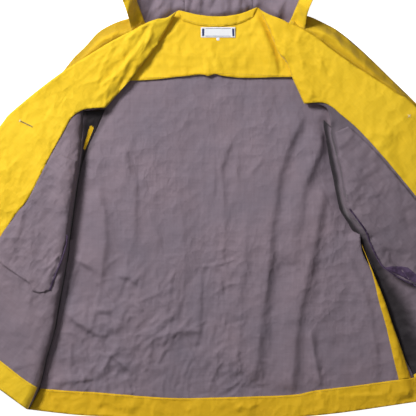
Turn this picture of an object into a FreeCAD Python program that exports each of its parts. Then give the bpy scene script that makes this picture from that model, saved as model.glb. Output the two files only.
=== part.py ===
"""Hooded rain jacket, lying open on its back with both fronts turned out.

Millimetres. +Z is up, +Y runs from the hem to the hood and +X is the wearer's left.
The origin is on the underside of the back panel. Cloth is held as plain closed solids
of the space that the crumpled layers take up. Every layer has its own level:

    back panel, sleeves and hood floor   on the surface the jacket lies on
    shoulder fronts                      a roof over the armholes
    fronts                               two turned-out flaps above the sleeves
"""
import FreeCAD
import Part

import math
import os

from FreeCAD import Placement, Rotation, Vector

DOC = FreeCAD.newDocument("hooded_jacket")
SHEET = DOC.addObject("Spreadsheet::Sheet", "Sizes")

SIZES = (
    # alias, value, what it is
    ("back_gauge", 6, "space taken by the crumpled back panel"),
    ("yoke_gauge", 3, "yoke facing and side strips"),
    ("stand_gauge", 3, "collar stand on the yoke facing"),
    ("back_hem_gauge", 4, "turned-up hem of the back"),
    ("label_gauge", 1.5, "woven label"),
    ("tab_gauge", 1, "size tab"),
    ("shoulder_level", 24, "underside of the front shoulder"),
    ("shoulder_gauge", 6, "front shoulder cloth"),
    ("side_wall_top", 31, "top of the side seam wall"),
    ("front_level", 32, "underside of a turned-out front"),
    ("front_gauge", 6, "front panel"),
    ("facing_gauge", 6, "front facing"),
    ("lining_gauge", 4, "hem facing and pocket bag on a front"),
    ("stitch_gauge", 0.8, "raised thread"),
    ("wall_width", 7, "width of the side seam wall"),
    ("hem_depth", 40, "depth of the front hem facing"),
    ("facing_width", 115, "width of the front facing"),
    ("hem_gap", 4, "front facing to hem facing"),
    ("sleeve_height", 26, "flattened sleeve, outside"),
    ("sleeve_skin", 4, "sleeve cloth above and below the hollow"),
    ("sleeve_seam", 6, "folded edge of the sleeve"),
    ("head_radius", 83, "round head of the sleeve at the armhole"),
    ("armhole_gap", 0.6, "room between a sleeve head and the body"),
    ("sleeve_length", 393, "sleeve from its pivot to the cuff hem"),
    ("cuff_half", 65, "half the width of the cuff"),
    ("cuff_depth", 40, "hem of the sleeve"),
    ("hood_depth", 54, "height of the hood's side above the surface"),
    ("hood_floor", 6, "hood cloth lying on the surface"),
    ("brim_gauge", 6, "facing round the hood opening"),
    ("button_radius", 10, "button"),
    ("button_gauge", 3, "button thickness"),
    ("button_dish", 7, "radius of the dished middle of a button"),
    ("dish_depth", 1, "depth of the dish"),
    ("thread_hole", 1.1, "radius of a button's thread hole"),
    ("thread_pitch", 2.4, "thread hole to the button's centre, along X and Y"),
    ("button_spacing", 160, "from button to button"),
    ("buttonhole_length", 26, "buttonhole with its bar tack"),
    ("buttonhole_width", 4, "buttonhole stitching, both lips"),
)
for row, (alias, value, meaning) in enumerate(SIZES, start=1):
    SHEET.set("A%d" % row, meaning)
    SHEET.set("B%d" % row, str(value))
    SHEET.setAlias("B%d" % row, alias)
DOC.recompute()

NODES = []
BUTTON_COUNT = 3

# Armholes: the sleeve turns about the centre of its round head.
RIGHT_PIVOT = (-300.0, 107.0)
LEFT_PIVOT = (301.0, 128.0)
RIGHT_SLEEVE_ANGLE = 226.5
LEFT_SLEEVE_ANGLE = -44.3
SWING = 40.0

# Landmarks that several pieces share.
RIGHT_UNDERARM_SIDE = [(-264, -38), (-280, -159), (-304, -243)]
LEFT_UNDERARM_SIDE = [(249, -47), (272, -101), (290, -150), (308, -199), (324, -243)]
RIGHT_HEM_CORNER = (-334, -335)
LEFT_HEM_CORNER = (345, -322)
RIGHT_FRONT_CORNER = (-605, -137)
LEFT_FRONT_CORNER = (618, -120)
RIGHT_SHOULDER_LINE = [(-150, 350), (-191, 338), (-233, 302), (-278, 252), (-337, 190.5)]
LEFT_SHOULDER_LINE = [(148, 355), (163, 350.5), (208, 329), (261, 284), (336, 211.5)]
RIGHT_ROLL = [(-80, 355), (-112, 297), (-156, 241), (-198, 193)]
LEFT_ROLL = [(78, 360), (99, 292), (119, 270), (130, 242), (149, 200)]
RIGHT_NECK_STEP = [(-131, 339), (-91, 350.5)]
LEFT_NECK_STEP = [(122, 340.5), (90, 355)]
RIGHT_FRONT_EDGE = [(-383, 159), (-343, 201), (-278, 252), (-196, 304), (-131, 339)]
LEFT_FRONT_EDGE = [(345, 192), (274, 242), (211, 284), (169, 316), (122, 340.5)]
FIRST_BUTTONHOLE = (-336.5, 164.5)
FIRST_BUTTON = (332, 178)


def size(alias):
    """Value of one driving dimension."""
    return float(SHEET.get(alias))


def via(x, y):
    """Middle point of an arc that joins the outline's points before and after it."""
    return ("via", x, y)


def is_via(point):
    return point[0] == "via"


def on_circle(centre, radius, degrees):
    """Point on a circle, counted from +X towards +Y."""
    angle = math.radians(degrees)
    return (centre[0] + radius * math.cos(angle), centre[1] + radius * math.sin(angle))


def along(start, end, distance):
    """Point at a distance from start towards end."""
    length = math.dist(start, end)
    return (start[0] + (end[0] - start[0]) * distance / length,
            start[1] + (end[1] - start[1]) * distance / length)


def shifted(points, dx, dy=0.0):
    return [(x + dx, y + dy) for x, y in points]


def draw_outline(body, name, outline):
    """Closed sketch of lines and three-point arcs on the body's own XY plane."""
    sketch = body.newObject("Sketcher::SketchObject", name)
    plane = next(item for item in body.Origin.OriginFeatures if item.Role == "XY_Plane")
    sketch.AttachmentSupport = [(plane, "")]
    sketch.MapMode = "FlatFace"
    count = len(outline)
    index = 0
    while index < count:
        start = Vector(*outline[index], 0)
        following = outline[(index + 1) % count]
        if is_via(following):
            end = Vector(*outline[(index + 2) % count], 0)
            middle = Vector(following[1], following[2], 0)
            sketch.addGeometry(Part.Arc(start, middle, end), False)
            index += 2
        else:
            sketch.addGeometry(Part.LineSegment(start, Vector(*following, 0)), False)
            index += 1
    return sketch


def new_body(node, level):
    """Empty body whose height above the surface follows the sheet."""
    body = DOC.addObject("PartDesign::Body", node)
    body.Label = node
    body.setExpression("Placement.Base.z", level)
    NODES.append(body)
    return body


def pad(body, name, outline, length, reverse=False):
    sketch = draw_outline(body, name + "_outline", outline)
    feature = body.newObject("PartDesign::Pad", name)
    feature.Profile = sketch
    feature.Reversed = reverse
    feature.setExpression("Length", length)
    return feature


def pocket(body, name, outline, start, length):
    """Cuts upward from a height above the body's XY plane."""
    before = body.Shape.Volume
    sketch = draw_outline(body, name + "_outline", outline)
    sketch.setExpression("AttachmentOffset.Base.z", start)
    feature = body.newObject("PartDesign::Pocket", name)
    feature.Profile = sketch
    feature.Reversed = True
    feature.setExpression("Length", length)
    DOC.recompute()
    if body.Shape.Volume >= before - 1.0:
        raise RuntimeError(body.Label + ": the pocket cut nothing")
    return feature


def flat_piece(node, outline, level, gauge):
    """One layer of cloth as a plate."""
    body = new_body(node, level)
    pad(body, "layer", outline, gauge)
    return body


def armhole(pivot, start_degrees, end_degrees):
    """Arc that leaves room for the sleeve head, as outline points."""
    radius = size("head_radius") + size("armhole_gap")
    middle = (start_degrees + end_degrees) / 2.0
    return [on_circle(pivot, radius, start_degrees),
            via(*on_circle(pivot, radius, middle)),
            on_circle(pivot, radius, end_degrees)]


# The sleeve's free swing sets where the body's outline may leave the armhole circle.
RIGHT_UNDERARM = RIGHT_SLEEVE_ANGLE + 90 - 360
RIGHT_ARMHOLE_TOP = RIGHT_SLEEVE_ANGLE - 90 - SWING
LEFT_UNDERARM = LEFT_SLEEVE_ANGLE - 90 + 360
LEFT_ARMHOLE_TOP = LEFT_SLEEVE_ANGLE + 90 + SWING


def build_back():
    """Back panel and everything sewn flat to its inside."""
    right_hem = (-330, -335)
    left_hem = (338, -323)
    outline = [(-70, 365), via(1, 353), (68, 370)]
    outline += LEFT_NECK_STEP[::-1] + LEFT_SHOULDER_LINE
    outline += armhole(LEFT_PIVOT, LEFT_ARMHOLE_TOP, LEFT_UNDERARM)
    outline += LEFT_UNDERARM_SIDE + [(336, -279), left_hem, via(0, -352), right_hem, (-316, -296)]
    outline += RIGHT_UNDERARM_SIDE[::-1]
    outline += armhole(RIGHT_PIVOT, RIGHT_UNDERARM, RIGHT_ARMHOLE_TOP)
    outline += RIGHT_SHOULDER_LINE[::-1] + RIGHT_NECK_STEP
    flat_piece("back_panel", outline, "0 mm", "Sizes.back_gauge")

    yoke = [(-71, 362), via(1, 350), (67, 367), (90, 353), (122, 338), (148, 344), (159, 340),
            (201, 319), (251, 275), (281, 247), via(60, 248), (-60, 246), via(-156, 241),
            (-258, 246), (-224, 291), (-186, 325), (-150, 338), (-131, 337), (-91, 348)]
    flat_piece("back_yoke_facing", yoke, "Sizes.back_gauge", "Sizes.yoke_gauge")

    lining = "Sizes.back_gauge + Sizes.yoke_gauge"
    stand = [(-70, 362), via(1, 350), (66, 367), (61, 349), via(1, 336), (-64, 344)]
    flat_piece("collar_stand", stand, lining, "Sizes.stand_gauge")
    label = [(-31.5, 316.4), (29, 316.4), (29, 334.6), (-31.5, 334.6)]
    flat_piece("neck_label", label, lining, "Sizes.label_gauge")
    tab = [(-5, 311.5), (2, 311.5), (2, 316.4), (-5, 316.4)]
    flat_piece("size_tab", tab, lining, "Sizes.tab_gauge")

    hem = [(-311, -300), via(-150, -312), (-16, -315), (132, -310), (312, -285), (334, -283),
           (336, -321), via(0, -350), (-328, -333)]
    flat_piece("back_hem_facing", hem, "Sizes.back_gauge", "Sizes.back_hem_gauge")


def build_side(side, path, inward):
    """Wall of cloth at the side seam, and the strip of facing along its foot."""
    width = size("wall_width")
    wall = path + shifted(path[::-1], inward * width)
    flat_piece(side + "_side_panel", wall, "Sizes.back_gauge",
               "Sizes.side_wall_top - Sizes.back_gauge")
    foot = shifted(path[1:], inward * (width + 1))
    strip = foot + shifted(foot[::-1], inward * 18)
    flat_piece(side + "_side_strip", strip, "Sizes.back_gauge", "Sizes.yoke_gauge")


def build_shoulder(side, roll, arc, silhouette, inner_line, neck_step):
    """Front shoulder: a roof of cloth carried by the shoulder seam."""
    body = new_body(side + "_front_shoulder", "Sizes.shoulder_level")
    roof = roll + arc + silhouette[::-1] + neck_step
    pad(body, "roof", roof, "Sizes.shoulder_gauge")
    seam = silhouette + inner_line
    pad(body, "seam", seam, "Sizes.shoulder_level - Sizes.back_gauge", reverse=True)


def build_shoulders():
    build_shoulder("right", [(-92, 345)] + RIGHT_ROLL[1:], armhole(RIGHT_PIVOT, 46.5, RIGHT_ARMHOLE_TOP),
                   RIGHT_SHOULDER_LINE,
                   [(-325, 190.5), (-271, 246), (-227, 295), (-188, 329), (-150, 341)],
                   RIGHT_NECK_STEP[:1])
    build_shoulder("left", [(88, 350)] + LEFT_ROLL[1:], armhole(LEFT_PIVOT, 133.5, LEFT_ARMHOLE_TOP),
                   LEFT_SHOULDER_LINE,
                   [(324, 211.5), (254, 277), (203, 321), (160, 342), (148, 346)],
                   LEFT_NECK_STEP[:1])


def hem_band(hem_corner, front_corner, side_top):
    """Hem facing of a front, from the side seam to the front facing's edge."""
    facing_end = along(front_corner, hem_corner, size("facing_width") + size("hem_gap"))
    depth = size("hem_depth")
    length = math.dist(hem_corner, front_corner)
    across = (-(front_corner[1] - hem_corner[1]) / length, (front_corner[0] - hem_corner[0]) / length)
    if across[1] < 0:
        across = (-across[0], -across[1])
    upper_end = (facing_end[0] + across[0] * depth, facing_end[1] + across[1] * depth)
    return [hem_corner, facing_end, upper_end, side_top]


def build_front(side, inner, hem_corner, front_corner, edge, roll, facing_edge, bag, binding, side_top):
    """One turned-out front: shell, facing, hem facing and pocket bag."""
    top = "Sizes.front_level + Sizes.front_gauge"
    panel = roll + inner + [hem_corner, front_corner] + edge
    flat_piece(side + "_front_panel", panel, "Sizes.front_level", "Sizes.front_gauge")
    facing_end = along(front_corner, hem_corner, size("facing_width"))
    facing = roll + facing_edge + [facing_end, front_corner] + edge
    flat_piece(side + "_front_facing", facing, top, "Sizes.facing_gauge")
    flat_piece(side + "_front_hem_facing", hem_band(hem_corner, front_corner, side_top), top,
               "Sizes.lining_gauge")
    flat_piece(side + "_pocket_bag", bag, top, "Sizes.lining_gauge")
    flat_piece(side + "_pocket_binding", binding, top, "Sizes.lining_gauge + Sizes.stitch_gauge")


def build_fronts():
    build_front(
        "right",
        [(-240, 160), (-253, 35), (-264, -37), (-282, -159), (-306, -243), (-317, -296)],
        RIGHT_HEM_CORNER, RIGHT_FRONT_CORNER, RIGHT_FRONT_EDGE, RIGHT_ROLL,
        [(-238, 189), (-257, 176), (-295, 108), (-335, 31), (-381, -33)],
        [(-289, 116), (-262, 112), (-270, -46), (-291, -99), (-298, -129), (-362, -129),
         (-385, -42), (-337, 26)],
        [(-261, 112), (-258, 112), (-267, -46), (-288, -100), (-295, -132), (-362, -132),
         (-362, -130), (-297, -130), (-290, -99), (-269, -46)],
        (-320, -296))
    build_front(
        "left",
        [(182, 172), (199, 129), (210, 86), (226, 16), (252, -47), (274, -101), (293, -150),
         (311, -199), (327, -243), (339, -279)],
        LEFT_HEM_CORNER, LEFT_FRONT_CORNER, LEFT_FRONT_EDGE, LEFT_ROLL,
        [(180, 200), (212, 180), (272, 122), (345, 35)],
        [(203, 150), (216, 86), (231, 16), (268, -52), (318, -104), (352, -122), (401, -40),
         (342, 34), (272, 117), (226, 160)],
        [(200, 152), (213, 85), (228, 14), (265, -54), (316, -107), (353, -125), (354, -123),
         (317, -105), (267, -52), (230, 16), (215, 86), (202, 152)],
        (340, -280))


def group(node, parts):
    """Identical small pieces that share one node as separate solids."""
    compound = DOC.addObject("Part::Compound", node)
    compound.Label = node
    compound.Links = parts
    NODES.append(compound)


def place(feature, x, y, level, degrees=0.0):
    feature.Placement = Placement(Vector(x, y, 0), Rotation(Vector(0, 0, 1), degrees))
    feature.setExpression("Placement.Base.z", level)


def cylinder(name, radius, height, x, y, level):
    feature = DOC.addObject("Part::Cylinder", name)
    feature.setExpression("Radius", radius)
    feature.setExpression("Height", height)
    place(feature, x, y, level)
    return feature


def build_button(index, x, y):
    """Four-hole button on the outside of the left front, dished side outward."""
    name = "button_%d" % index
    level = "Sizes.front_level - Sizes.button_gauge"
    disc = cylinder(name + "_disc", "Sizes.button_radius", "Sizes.button_gauge", x, y, level)
    cuts = [cylinder(name + "_dish", "Sizes.button_dish", "Sizes.dish_depth", x, y, level)]
    pitch = size("thread_pitch")
    for column in (-1, 1):
        for line in (-1, 1):
            cuts.append(cylinder("%s_hole_%d_%d" % (name, column + 1, line + 1), "Sizes.thread_hole",
                                 "Sizes.button_gauge", x + column * pitch, y + line * pitch, level))
    tool = DOC.addObject("Part::MultiFuse", name + "_tool")
    tool.Shapes = cuts
    button = DOC.addObject("Part::Cut", name)
    button.Base = disc
    button.Tool = tool
    return button


def stitch_box(name, length, width, x, y, degrees):
    """Flat raised block of thread centred at x, y on top of a facing."""
    feature = DOC.addObject("Part::Box", name)
    feature.setExpression("Length", length)
    feature.setExpression("Width", width)
    feature.setExpression("Height", "Sizes.stitch_gauge")
    angle = math.radians(degrees)
    half_length = float(feature.evalExpression(length)) / 2.0
    half_width = float(feature.evalExpression(width)) / 2.0
    corner_x = x - half_length * math.cos(angle) + half_width * math.sin(angle)
    corner_y = y - half_length * math.sin(angle) - half_width * math.cos(angle)
    place(feature, corner_x, corner_y,
          "Sizes.front_level + Sizes.front_gauge + Sizes.facing_gauge", degrees)
    return feature


def build_closure():
    """Buttons on the left front, the thread that holds them, and the right front's buttonholes."""
    spacing = size("button_spacing")
    buttons = []
    threads = []
    holes = []
    hole_angle = -25.5
    for index in range(BUTTON_COUNT):
        x, y = along(FIRST_BUTTON, (FIRST_BUTTON[0] + 273, FIRST_BUTTON[1] - 312), index * spacing)
        buttons.append(build_button(index, x, y))
        threads.append(stitch_box("button_thread_%d" % index, "Sizes.thread_pitch * 3",
                                  "Sizes.thread_hole * 2", x, y, LEFT_SLEEVE_ANGLE))
        x, y = along(FIRST_BUTTONHOLE, (FIRST_BUTTONHOLE[0] - 222, FIRST_BUTTONHOLE[1] - 296),
                     index * spacing)
        holes.append(stitch_box("buttonhole_%d" % index, "Sizes.buttonhole_length",
                                "Sizes.buttonhole_width", x, y, hole_angle))
    group("front_buttons", buttons)
    group("button_thread", threads)
    group("buttonhole_stitching", holes)


def build_sleeve_half(node, pivot, degrees, turned_over):
    """Half of the flattened sleeve tube: a channel, open at the armhole and at the cuff.

    It is drawn along +X from the pivot, then turned into place. The upper half is the
    same channel turned over.
    """
    radius = size("head_radius")
    length = size("sleeve_length")
    seam = size("sleeve_seam")
    end_half = size("cuff_half")
    overrun = 10.0
    outline = [(0, -radius), (length, -end_half), (length, end_half), (0, radius), via(-radius, 0)]
    inner = radius - seam
    hollow = [(-radius - overrun, -inner), (0, -inner),
              (length + overrun, -(end_half - seam)), (length + overrun, end_half - seam),
              (0, inner), (-radius - overrun, inner)]
    body = DOC.addObject("PartDesign::Body", node)
    body.Label = node
    NODES.append(body)
    pad(body, "channel", outline, "Sizes.sleeve_height / 2")
    DOC.recompute()
    pocket(body, "hollow", hollow, "Sizes.sleeve_skin", "Sizes.sleeve_height")
    turn = Rotation(Vector(0, 0, 1), degrees)
    height = 0.0
    if turned_over:
        turn = turn.multiply(Rotation(Vector(1, 0, 0), 180))
        height = size("sleeve_height")
    body.Placement = Placement(Vector(pivot[0], pivot[1], height), turn)


def build_cuff(node, pivot, degrees):
    """Hem of the sleeve: a flat ring that the hand comes out of."""
    outer = DOC.addObject("Part::Box", node + "_outer")
    inner = DOC.addObject("Part::Box", node + "_inner")
    outer.setExpression("Length", "Sizes.cuff_depth")
    outer.setExpression("Width", "Sizes.cuff_half * 2")
    outer.setExpression("Height", "Sizes.sleeve_height")
    inner.setExpression("Length", "Sizes.cuff_depth * 2")
    inner.setExpression("Width", "Sizes.cuff_half * 2 - Sizes.sleeve_seam * 2")
    inner.setExpression("Height", "Sizes.sleeve_height - Sizes.sleeve_skin * 2")
    outer.setExpression("Placement.Base.x", "Sizes.sleeve_length")
    outer.setExpression("Placement.Base.y", "-Sizes.cuff_half")
    inner.setExpression("Placement.Base.x", "Sizes.sleeve_length - Sizes.cuff_depth / 2")
    inner.setExpression("Placement.Base.y", "Sizes.sleeve_seam - Sizes.cuff_half")
    inner.setExpression("Placement.Base.z", "Sizes.sleeve_skin")
    cuff = DOC.addObject("Part::Cut", node)
    cuff.Label = node
    cuff.Base = outer
    cuff.Tool = inner
    cuff.Placement = Placement(Vector(pivot[0], pivot[1], 0), Rotation(Vector(0, 0, 1), degrees))
    NODES.append(cuff)


def build_sleeves():
    for side, pivot, degrees in (("right", RIGHT_PIVOT, RIGHT_SLEEVE_ANGLE),
                                 ("left", LEFT_PIVOT, LEFT_SLEEVE_ANGLE)):
        build_sleeve_half(side + "_sleeve_under", pivot, degrees, False)
        build_sleeve_half(side + "_sleeve_upper", pivot, degrees, True)
        build_cuff(side + "_cuff_hem", pivot, degrees)


def tray(node, outline, hollow):
    """Piece of the hood: cloth on the surface with a side that stands up round the edge."""
    body = new_body(node, "0 mm")
    pad(body, "piece", outline, "Sizes.hood_depth")
    DOC.recompute()
    pocket(body, "bowl", hollow, "Sizes.hood_floor", "Sizes.hood_depth")


def mirrored(outline):
    return [("via", -point[1], point[2]) if is_via(point) else (-point[0], point[1])
            for point in outline]


def build_hood():
    """Three-piece hood, opened out behind the neck as a shallow bowl."""
    seam = 60
    top = 682
    rim_side = [via(-178, 408), (-187, 470), via(-157, 612), (-seam, top)]
    right = [(-150, 354)] + rim_side + [(-seam, 367.5), (-70, 368), (-91, 353), (-131, 341.5)]
    right_bowl = [(-138, 330), via(-166, 408), (-175, 470), via(-146, 604), (-seam, top - 13),
                  (-seam + 10, top - 13), (-seam + 10, 330)]
    left = [(148, 359)] + mirrored(rim_side) + [(seam, 373), (70, 374), (91, 358), (122, 343)]
    tray("hood_right_side", right, right_bowl)
    tray("hood_left_side", left, mirrored(right_bowl))
    centre = [(-seam, 367.5), via(0, 355.5), (seam, 373), (seam, top), via(0, 692), (-seam, top)]
    centre_bowl = [(-seam - 10, 330), (seam + 10, 330), (seam + 10, top - 13), (seam, top - 13),
                   via(0, 679), (-seam, top - 13), (-seam - 10, top - 13)]
    tray("hood_centre", centre, centre_bowl)

    inner_side = [via(-157, 408), (-166, 470), via(-138, 597), (-seam, top - 22)]
    rim = [(-150, 354)] + rim_side + [via(0, 692)] + mirrored(rim_side)[::-1]
    rim += [(148, 359), (127, 345)] + mirrored(inner_side) + [via(0, 670)]
    rim += inner_side[::-1] + [(-131, 342)]
    flat_piece("hood_brim_facing", rim, "Sizes.hood_depth", "Sizes.brim_gauge")


def check_and_write():
    """Stops on any failed feature, then writes one file per piece."""
    DOC.recompute()
    for item in DOC.Objects:
        if "Invalid" in item.State or "Error" in item.State:
            raise RuntimeError(item.Label + ": " + ", ".join(item.State))
    os.makedirs("parts", exist_ok=True)
    for node in NODES:
        shape = node.Shape
        if shape.isNull() or not shape.isValid() or not shape.Solids:
            raise RuntimeError(node.Label + ": no valid solid")
        shape.exportStep("parts/%s.step" % node.Label)
    print("%d pieces, %.2f litres" % (len(NODES), sum(n.Shape.Volume for n in NODES) / 1e6))


build_back()
build_side("right", [(-241, 42)] + RIGHT_UNDERARM_SIDE + [(-312, -290)], 1)
build_side("left", [(247, 58)] + LEFT_UNDERARM_SIDE + [(335, -278)], -1)
build_shoulders()
build_fronts()
build_closure()
build_sleeves()
build_hood()
check_and_write()
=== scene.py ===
"""Visual model of an open hooded rain jacket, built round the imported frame.

Plan positions are written in millimetres in the frame's own axes and turned into metres by
MM. Heights come from the frame's boxes. Each cloth piece is a sheet cut to an outline, with
a height function for its folds, creases and rolled edges.
"""

import math

import bpy
import numpy as np
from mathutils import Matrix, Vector
from mathutils.geometry import delaunay_2d_cdt


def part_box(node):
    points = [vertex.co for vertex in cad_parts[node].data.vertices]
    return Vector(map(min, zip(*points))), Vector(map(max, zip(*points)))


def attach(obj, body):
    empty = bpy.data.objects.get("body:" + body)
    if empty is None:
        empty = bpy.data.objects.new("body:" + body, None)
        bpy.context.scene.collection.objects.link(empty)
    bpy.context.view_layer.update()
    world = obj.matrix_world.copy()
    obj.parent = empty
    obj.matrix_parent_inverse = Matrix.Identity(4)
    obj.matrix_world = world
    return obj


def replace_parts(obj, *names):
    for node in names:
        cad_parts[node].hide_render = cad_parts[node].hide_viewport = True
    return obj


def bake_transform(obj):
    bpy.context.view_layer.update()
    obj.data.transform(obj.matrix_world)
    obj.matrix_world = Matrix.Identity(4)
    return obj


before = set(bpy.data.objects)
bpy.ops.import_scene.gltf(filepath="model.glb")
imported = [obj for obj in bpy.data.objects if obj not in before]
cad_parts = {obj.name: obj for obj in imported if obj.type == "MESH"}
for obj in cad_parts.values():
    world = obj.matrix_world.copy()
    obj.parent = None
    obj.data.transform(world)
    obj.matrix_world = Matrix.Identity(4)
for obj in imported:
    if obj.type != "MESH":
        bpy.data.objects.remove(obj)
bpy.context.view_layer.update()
MM = 0.001


def level(node):
    """Height in millimetres of the top of a CAD node."""
    _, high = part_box(node)
    return high.z / MM


FRONT_TOP = level("right_front_panel")
SHOULDER_TOP = level("right_front_shoulder")
SLEEVE_TOP = level("right_sleeve_upper")
HOOD_TOP = level("hood_brim_facing")
CLOTH_GAUGE, FACING_GAUGE = 0.9, 1.0  # cloth thickness in millimetres
NOISE_CELLS = 64  # cells before the noise repeats

# ---------------------------------------------------------------- noise and falloffs


def lattice(x, y, cell, seed):
    """Smooth value noise from -1 to 1 on a square lattice of the given cell size."""
    table = np.random.default_rng(seed).uniform(-1, 1, (NOISE_CELLS, NOISE_CELLS))
    u, v = x / cell, y / cell
    i, j = np.floor(u).astype(int), np.floor(v).astype(int)
    fu, fv = u - i, v - j
    fu, fv = fu * fu * (3 - 2 * fu), fv * fv * (3 - 2 * fv)
    i, j, right, above = (k % NOISE_CELLS for k in (i, j, i + 1, j + 1))
    a = table[i, j] * (1 - fu) + table[right, j] * fu
    b = table[i, above] * (1 - fu) + table[right, above] * fu
    return a * (1 - fv) + b * fv


def turned(x, y, degrees):
    """Coordinates in axes turned by an angle."""
    c, s = math.cos(math.radians(degrees)), math.sin(math.radians(degrees))
    return x * c + y * s, -x * s + y * c


def rolling(x, y, cell, seed, octaves=3):
    """Soft rolling relief, about -1 to 1."""
    total, weight = 0.0, 1.0
    for octave in range(octaves):
        u, v = turned(x, y, 31 * octave + 11 * seed)
        u, v = u + 37 * octave, v - 53 * octave
        total = total + weight * lattice(u, v, cell / 2**octave, seed + octave)
        weight *= 0.5
    return total


def creases(x, y, cell, seed, stretch=1.0, degrees=0.0):
    """Sharp-edged crumple from 0 to 1, longer along the given direction when stretched."""
    u, v = turned(x, y, degrees)
    bend = 0.35 * cell
    u = u / stretch + bend * lattice(x, y, cell * 1.7, seed + 5)
    v = v + bend * lattice(x, y, cell * 1.7, seed + 9)
    first = 1 - np.abs(lattice(u, v, cell, seed))
    second = 1 - np.abs(lattice(*turned(u, v, 47), cell * 0.55, seed + 3))
    return 0.65 * first**3 + 0.35 * second**2


def facets(x, y, cell, seed, stretch=1.0, degrees=0.0):
    """Crumple made of nearly flat patches that meet along sharp valleys, from 0 to about 1."""
    u, v = turned(x, y, degrees)
    u = u / stretch + 0.5 * cell * lattice(x, y, cell * 1.3, seed + 5)
    v = v + 0.5 * cell * lattice(x, y, cell * 1.3, seed + 9)
    first = np.abs(lattice(u, v, cell, seed))
    second = np.abs(lattice(*turned(u, v, 53), cell * 0.62, seed + 3))
    return 0.65 * first + 0.35 * second


def smooth(value):
    """Soft step from 0 to 1."""
    value = np.clip(value, 0, 1)
    return value * value * (3 - 2 * value)


def limited(value, top):
    """The value held softly under a top, in millimetres."""
    return top - 2.0 * np.logaddexp(0, (top - value) / 2.0)


def nearest(x, y, line):
    """Distance to a polyline, signed side (left of its direction is positive), and share along it."""
    line = np.asarray(line, float)
    lengths = np.linalg.norm(np.diff(line, axis=0), axis=1)
    starts = np.concatenate([[0], np.cumsum(lengths)])
    best = np.full(np.shape(x), np.inf)
    side = np.zeros(np.shape(x))
    share = np.zeros(np.shape(x))
    for k, length in enumerate(lengths):
        d = (line[k + 1] - line[k]) / length
        px, py = x - line[k][0], y - line[k][1]
        along = np.clip(px * d[0] + py * d[1], 0, length)
        qx, qy = px - along * d[0], py - along * d[1]
        distance = np.hypot(qx, qy)
        closer = distance < best
        best = np.where(closer, distance, best)
        side = np.where(closer, np.sign(d[0] * qy - d[1] * qx), side)
        share = np.where(closer, (starts[k] + along) / starts[-1], share)
    return best, side, share


def fold(x, y, line, height, steep, gentle, fade):
    """A ridge that falls steeply to the left of its line's direction and gently to the right."""
    distance, side, share = nearest(x, y, line)
    width = np.where(side > 0, steep, gentle)
    ends = smooth(share / fade) * smooth((1 - share) / fade)
    return height * ends * np.exp(-((distance / width) ** 1.35))


def wrinkles(x, y, seed, count, box, heading, length, height, width, spread):
    """Short creases scattered over a box, each one bent and steep on one side."""
    rng = np.random.default_rng(seed)
    z = np.zeros(np.shape(x))
    x0, y0, x1, y1 = box
    for _ in range(count):
        cx, cy = rng.uniform(x0, x1), rng.uniform(y0, y1)
        angle = heading + rng.normal(0, spread)
        reach = length * rng.uniform(0.4, 1.4)
        tall = height * rng.uniform(0.3, 1.2) * rng.choice([1, 1, -0.6])
        wide = width * rng.uniform(0.5, 1.3)
        bend = rng.normal(0, 0.25)
        lopsided = rng.uniform(0.35, 1.0)
        near = (np.abs(x - cx) < reach + 4 * wide) & (np.abs(y - cy) < reach + 4 * wide)
        u, v = turned(x[near] - cx, y[near] - cy, angle)
        v = v - bend * u * u / reach
        across = np.where(v > 0, wide * lopsided, wide)
        z[near] += tall * np.exp(-np.abs(v / across) ** 1.15) * np.maximum(1 - (u / reach) ** 2, 0) ** 1.5
    return z


def with_folds(z, x, y, folds):
    """Relief z with folds added: each has a line, height, steep and gentle widths, and end fade."""
    for line, height, steep, gentle, fade in folds:
        z = z + fold(x, y, line, height, steep, gentle, fade)
    return z


def with_wrinkles(z, x, y, rows):
    """Relief z with scattered creases added: each row holds the arguments of wrinkles()."""
    for row in rows:
        z = z + wrinkles(x, y, *row)
    return z


# ---------------------------------------------------------------- outlines and meshes


def smooth_path(points, step=4.0):
    """Points every step along a smooth curve through the given ones, without the last."""
    p = np.asarray(points, float)
    if len(p) == 2:
        count = max(1, round(math.dist(p[0], p[1]) / step))
        return p[0] + (p[1] - p[0]) * (np.arange(count) / count)[:, None]
    ends = np.vstack([2 * p[0] - p[1], p, 2 * p[-1] - p[-2]])
    out = []
    for k in range(len(p) - 1):
        a, b, c, d = ends[k:k + 4]
        count = max(1, round(math.dist(b, c) / step))
        t = (np.arange(count) / count)[:, None]
        out.append(0.5 * (2 * b + (c - a) * t + (2 * a - 5 * b + 4 * c - d) * t**2
                          + (3 * b - a - 3 * c + d) * t**3))
    return np.vstack(out)


def outline_of(edges, step):
    """Closed outline from smooth edges between corners; straight ones join those that don't meet."""
    parts = []
    for edge, following in zip(edges, edges[1:] + edges[:1]):
        parts.append(smooth_path(edge, step))
        if tuple(edge[-1]) != tuple(following[0]):
            parts.append(smooth_path([edge[-1], following[0]], step))
    return np.vstack(parts)


def inside(points, polygon):
    """Which points lie inside a closed polygon."""
    x, y = points[:, 0], points[:, 1]
    result = np.zeros(len(points), bool)
    a, b = polygon, np.roll(polygon, -1, axis=0)
    for (ax, ay), (bx, by) in zip(a, b):
        crosses = (ay > y) != (by > y)
        with np.errstate(divide="ignore", invalid="ignore"):
            at = ax + (y - ay) * (bx - ax) / (by - ay)
        result ^= crosses & (x < at)
    return result


def area_of(polygon):
    x, y = polygon[:, 0], polygon[:, 1]
    return abs(float(np.dot(x, np.roll(y, -1)) - np.dot(y, np.roll(x, -1)))) / 2


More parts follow.
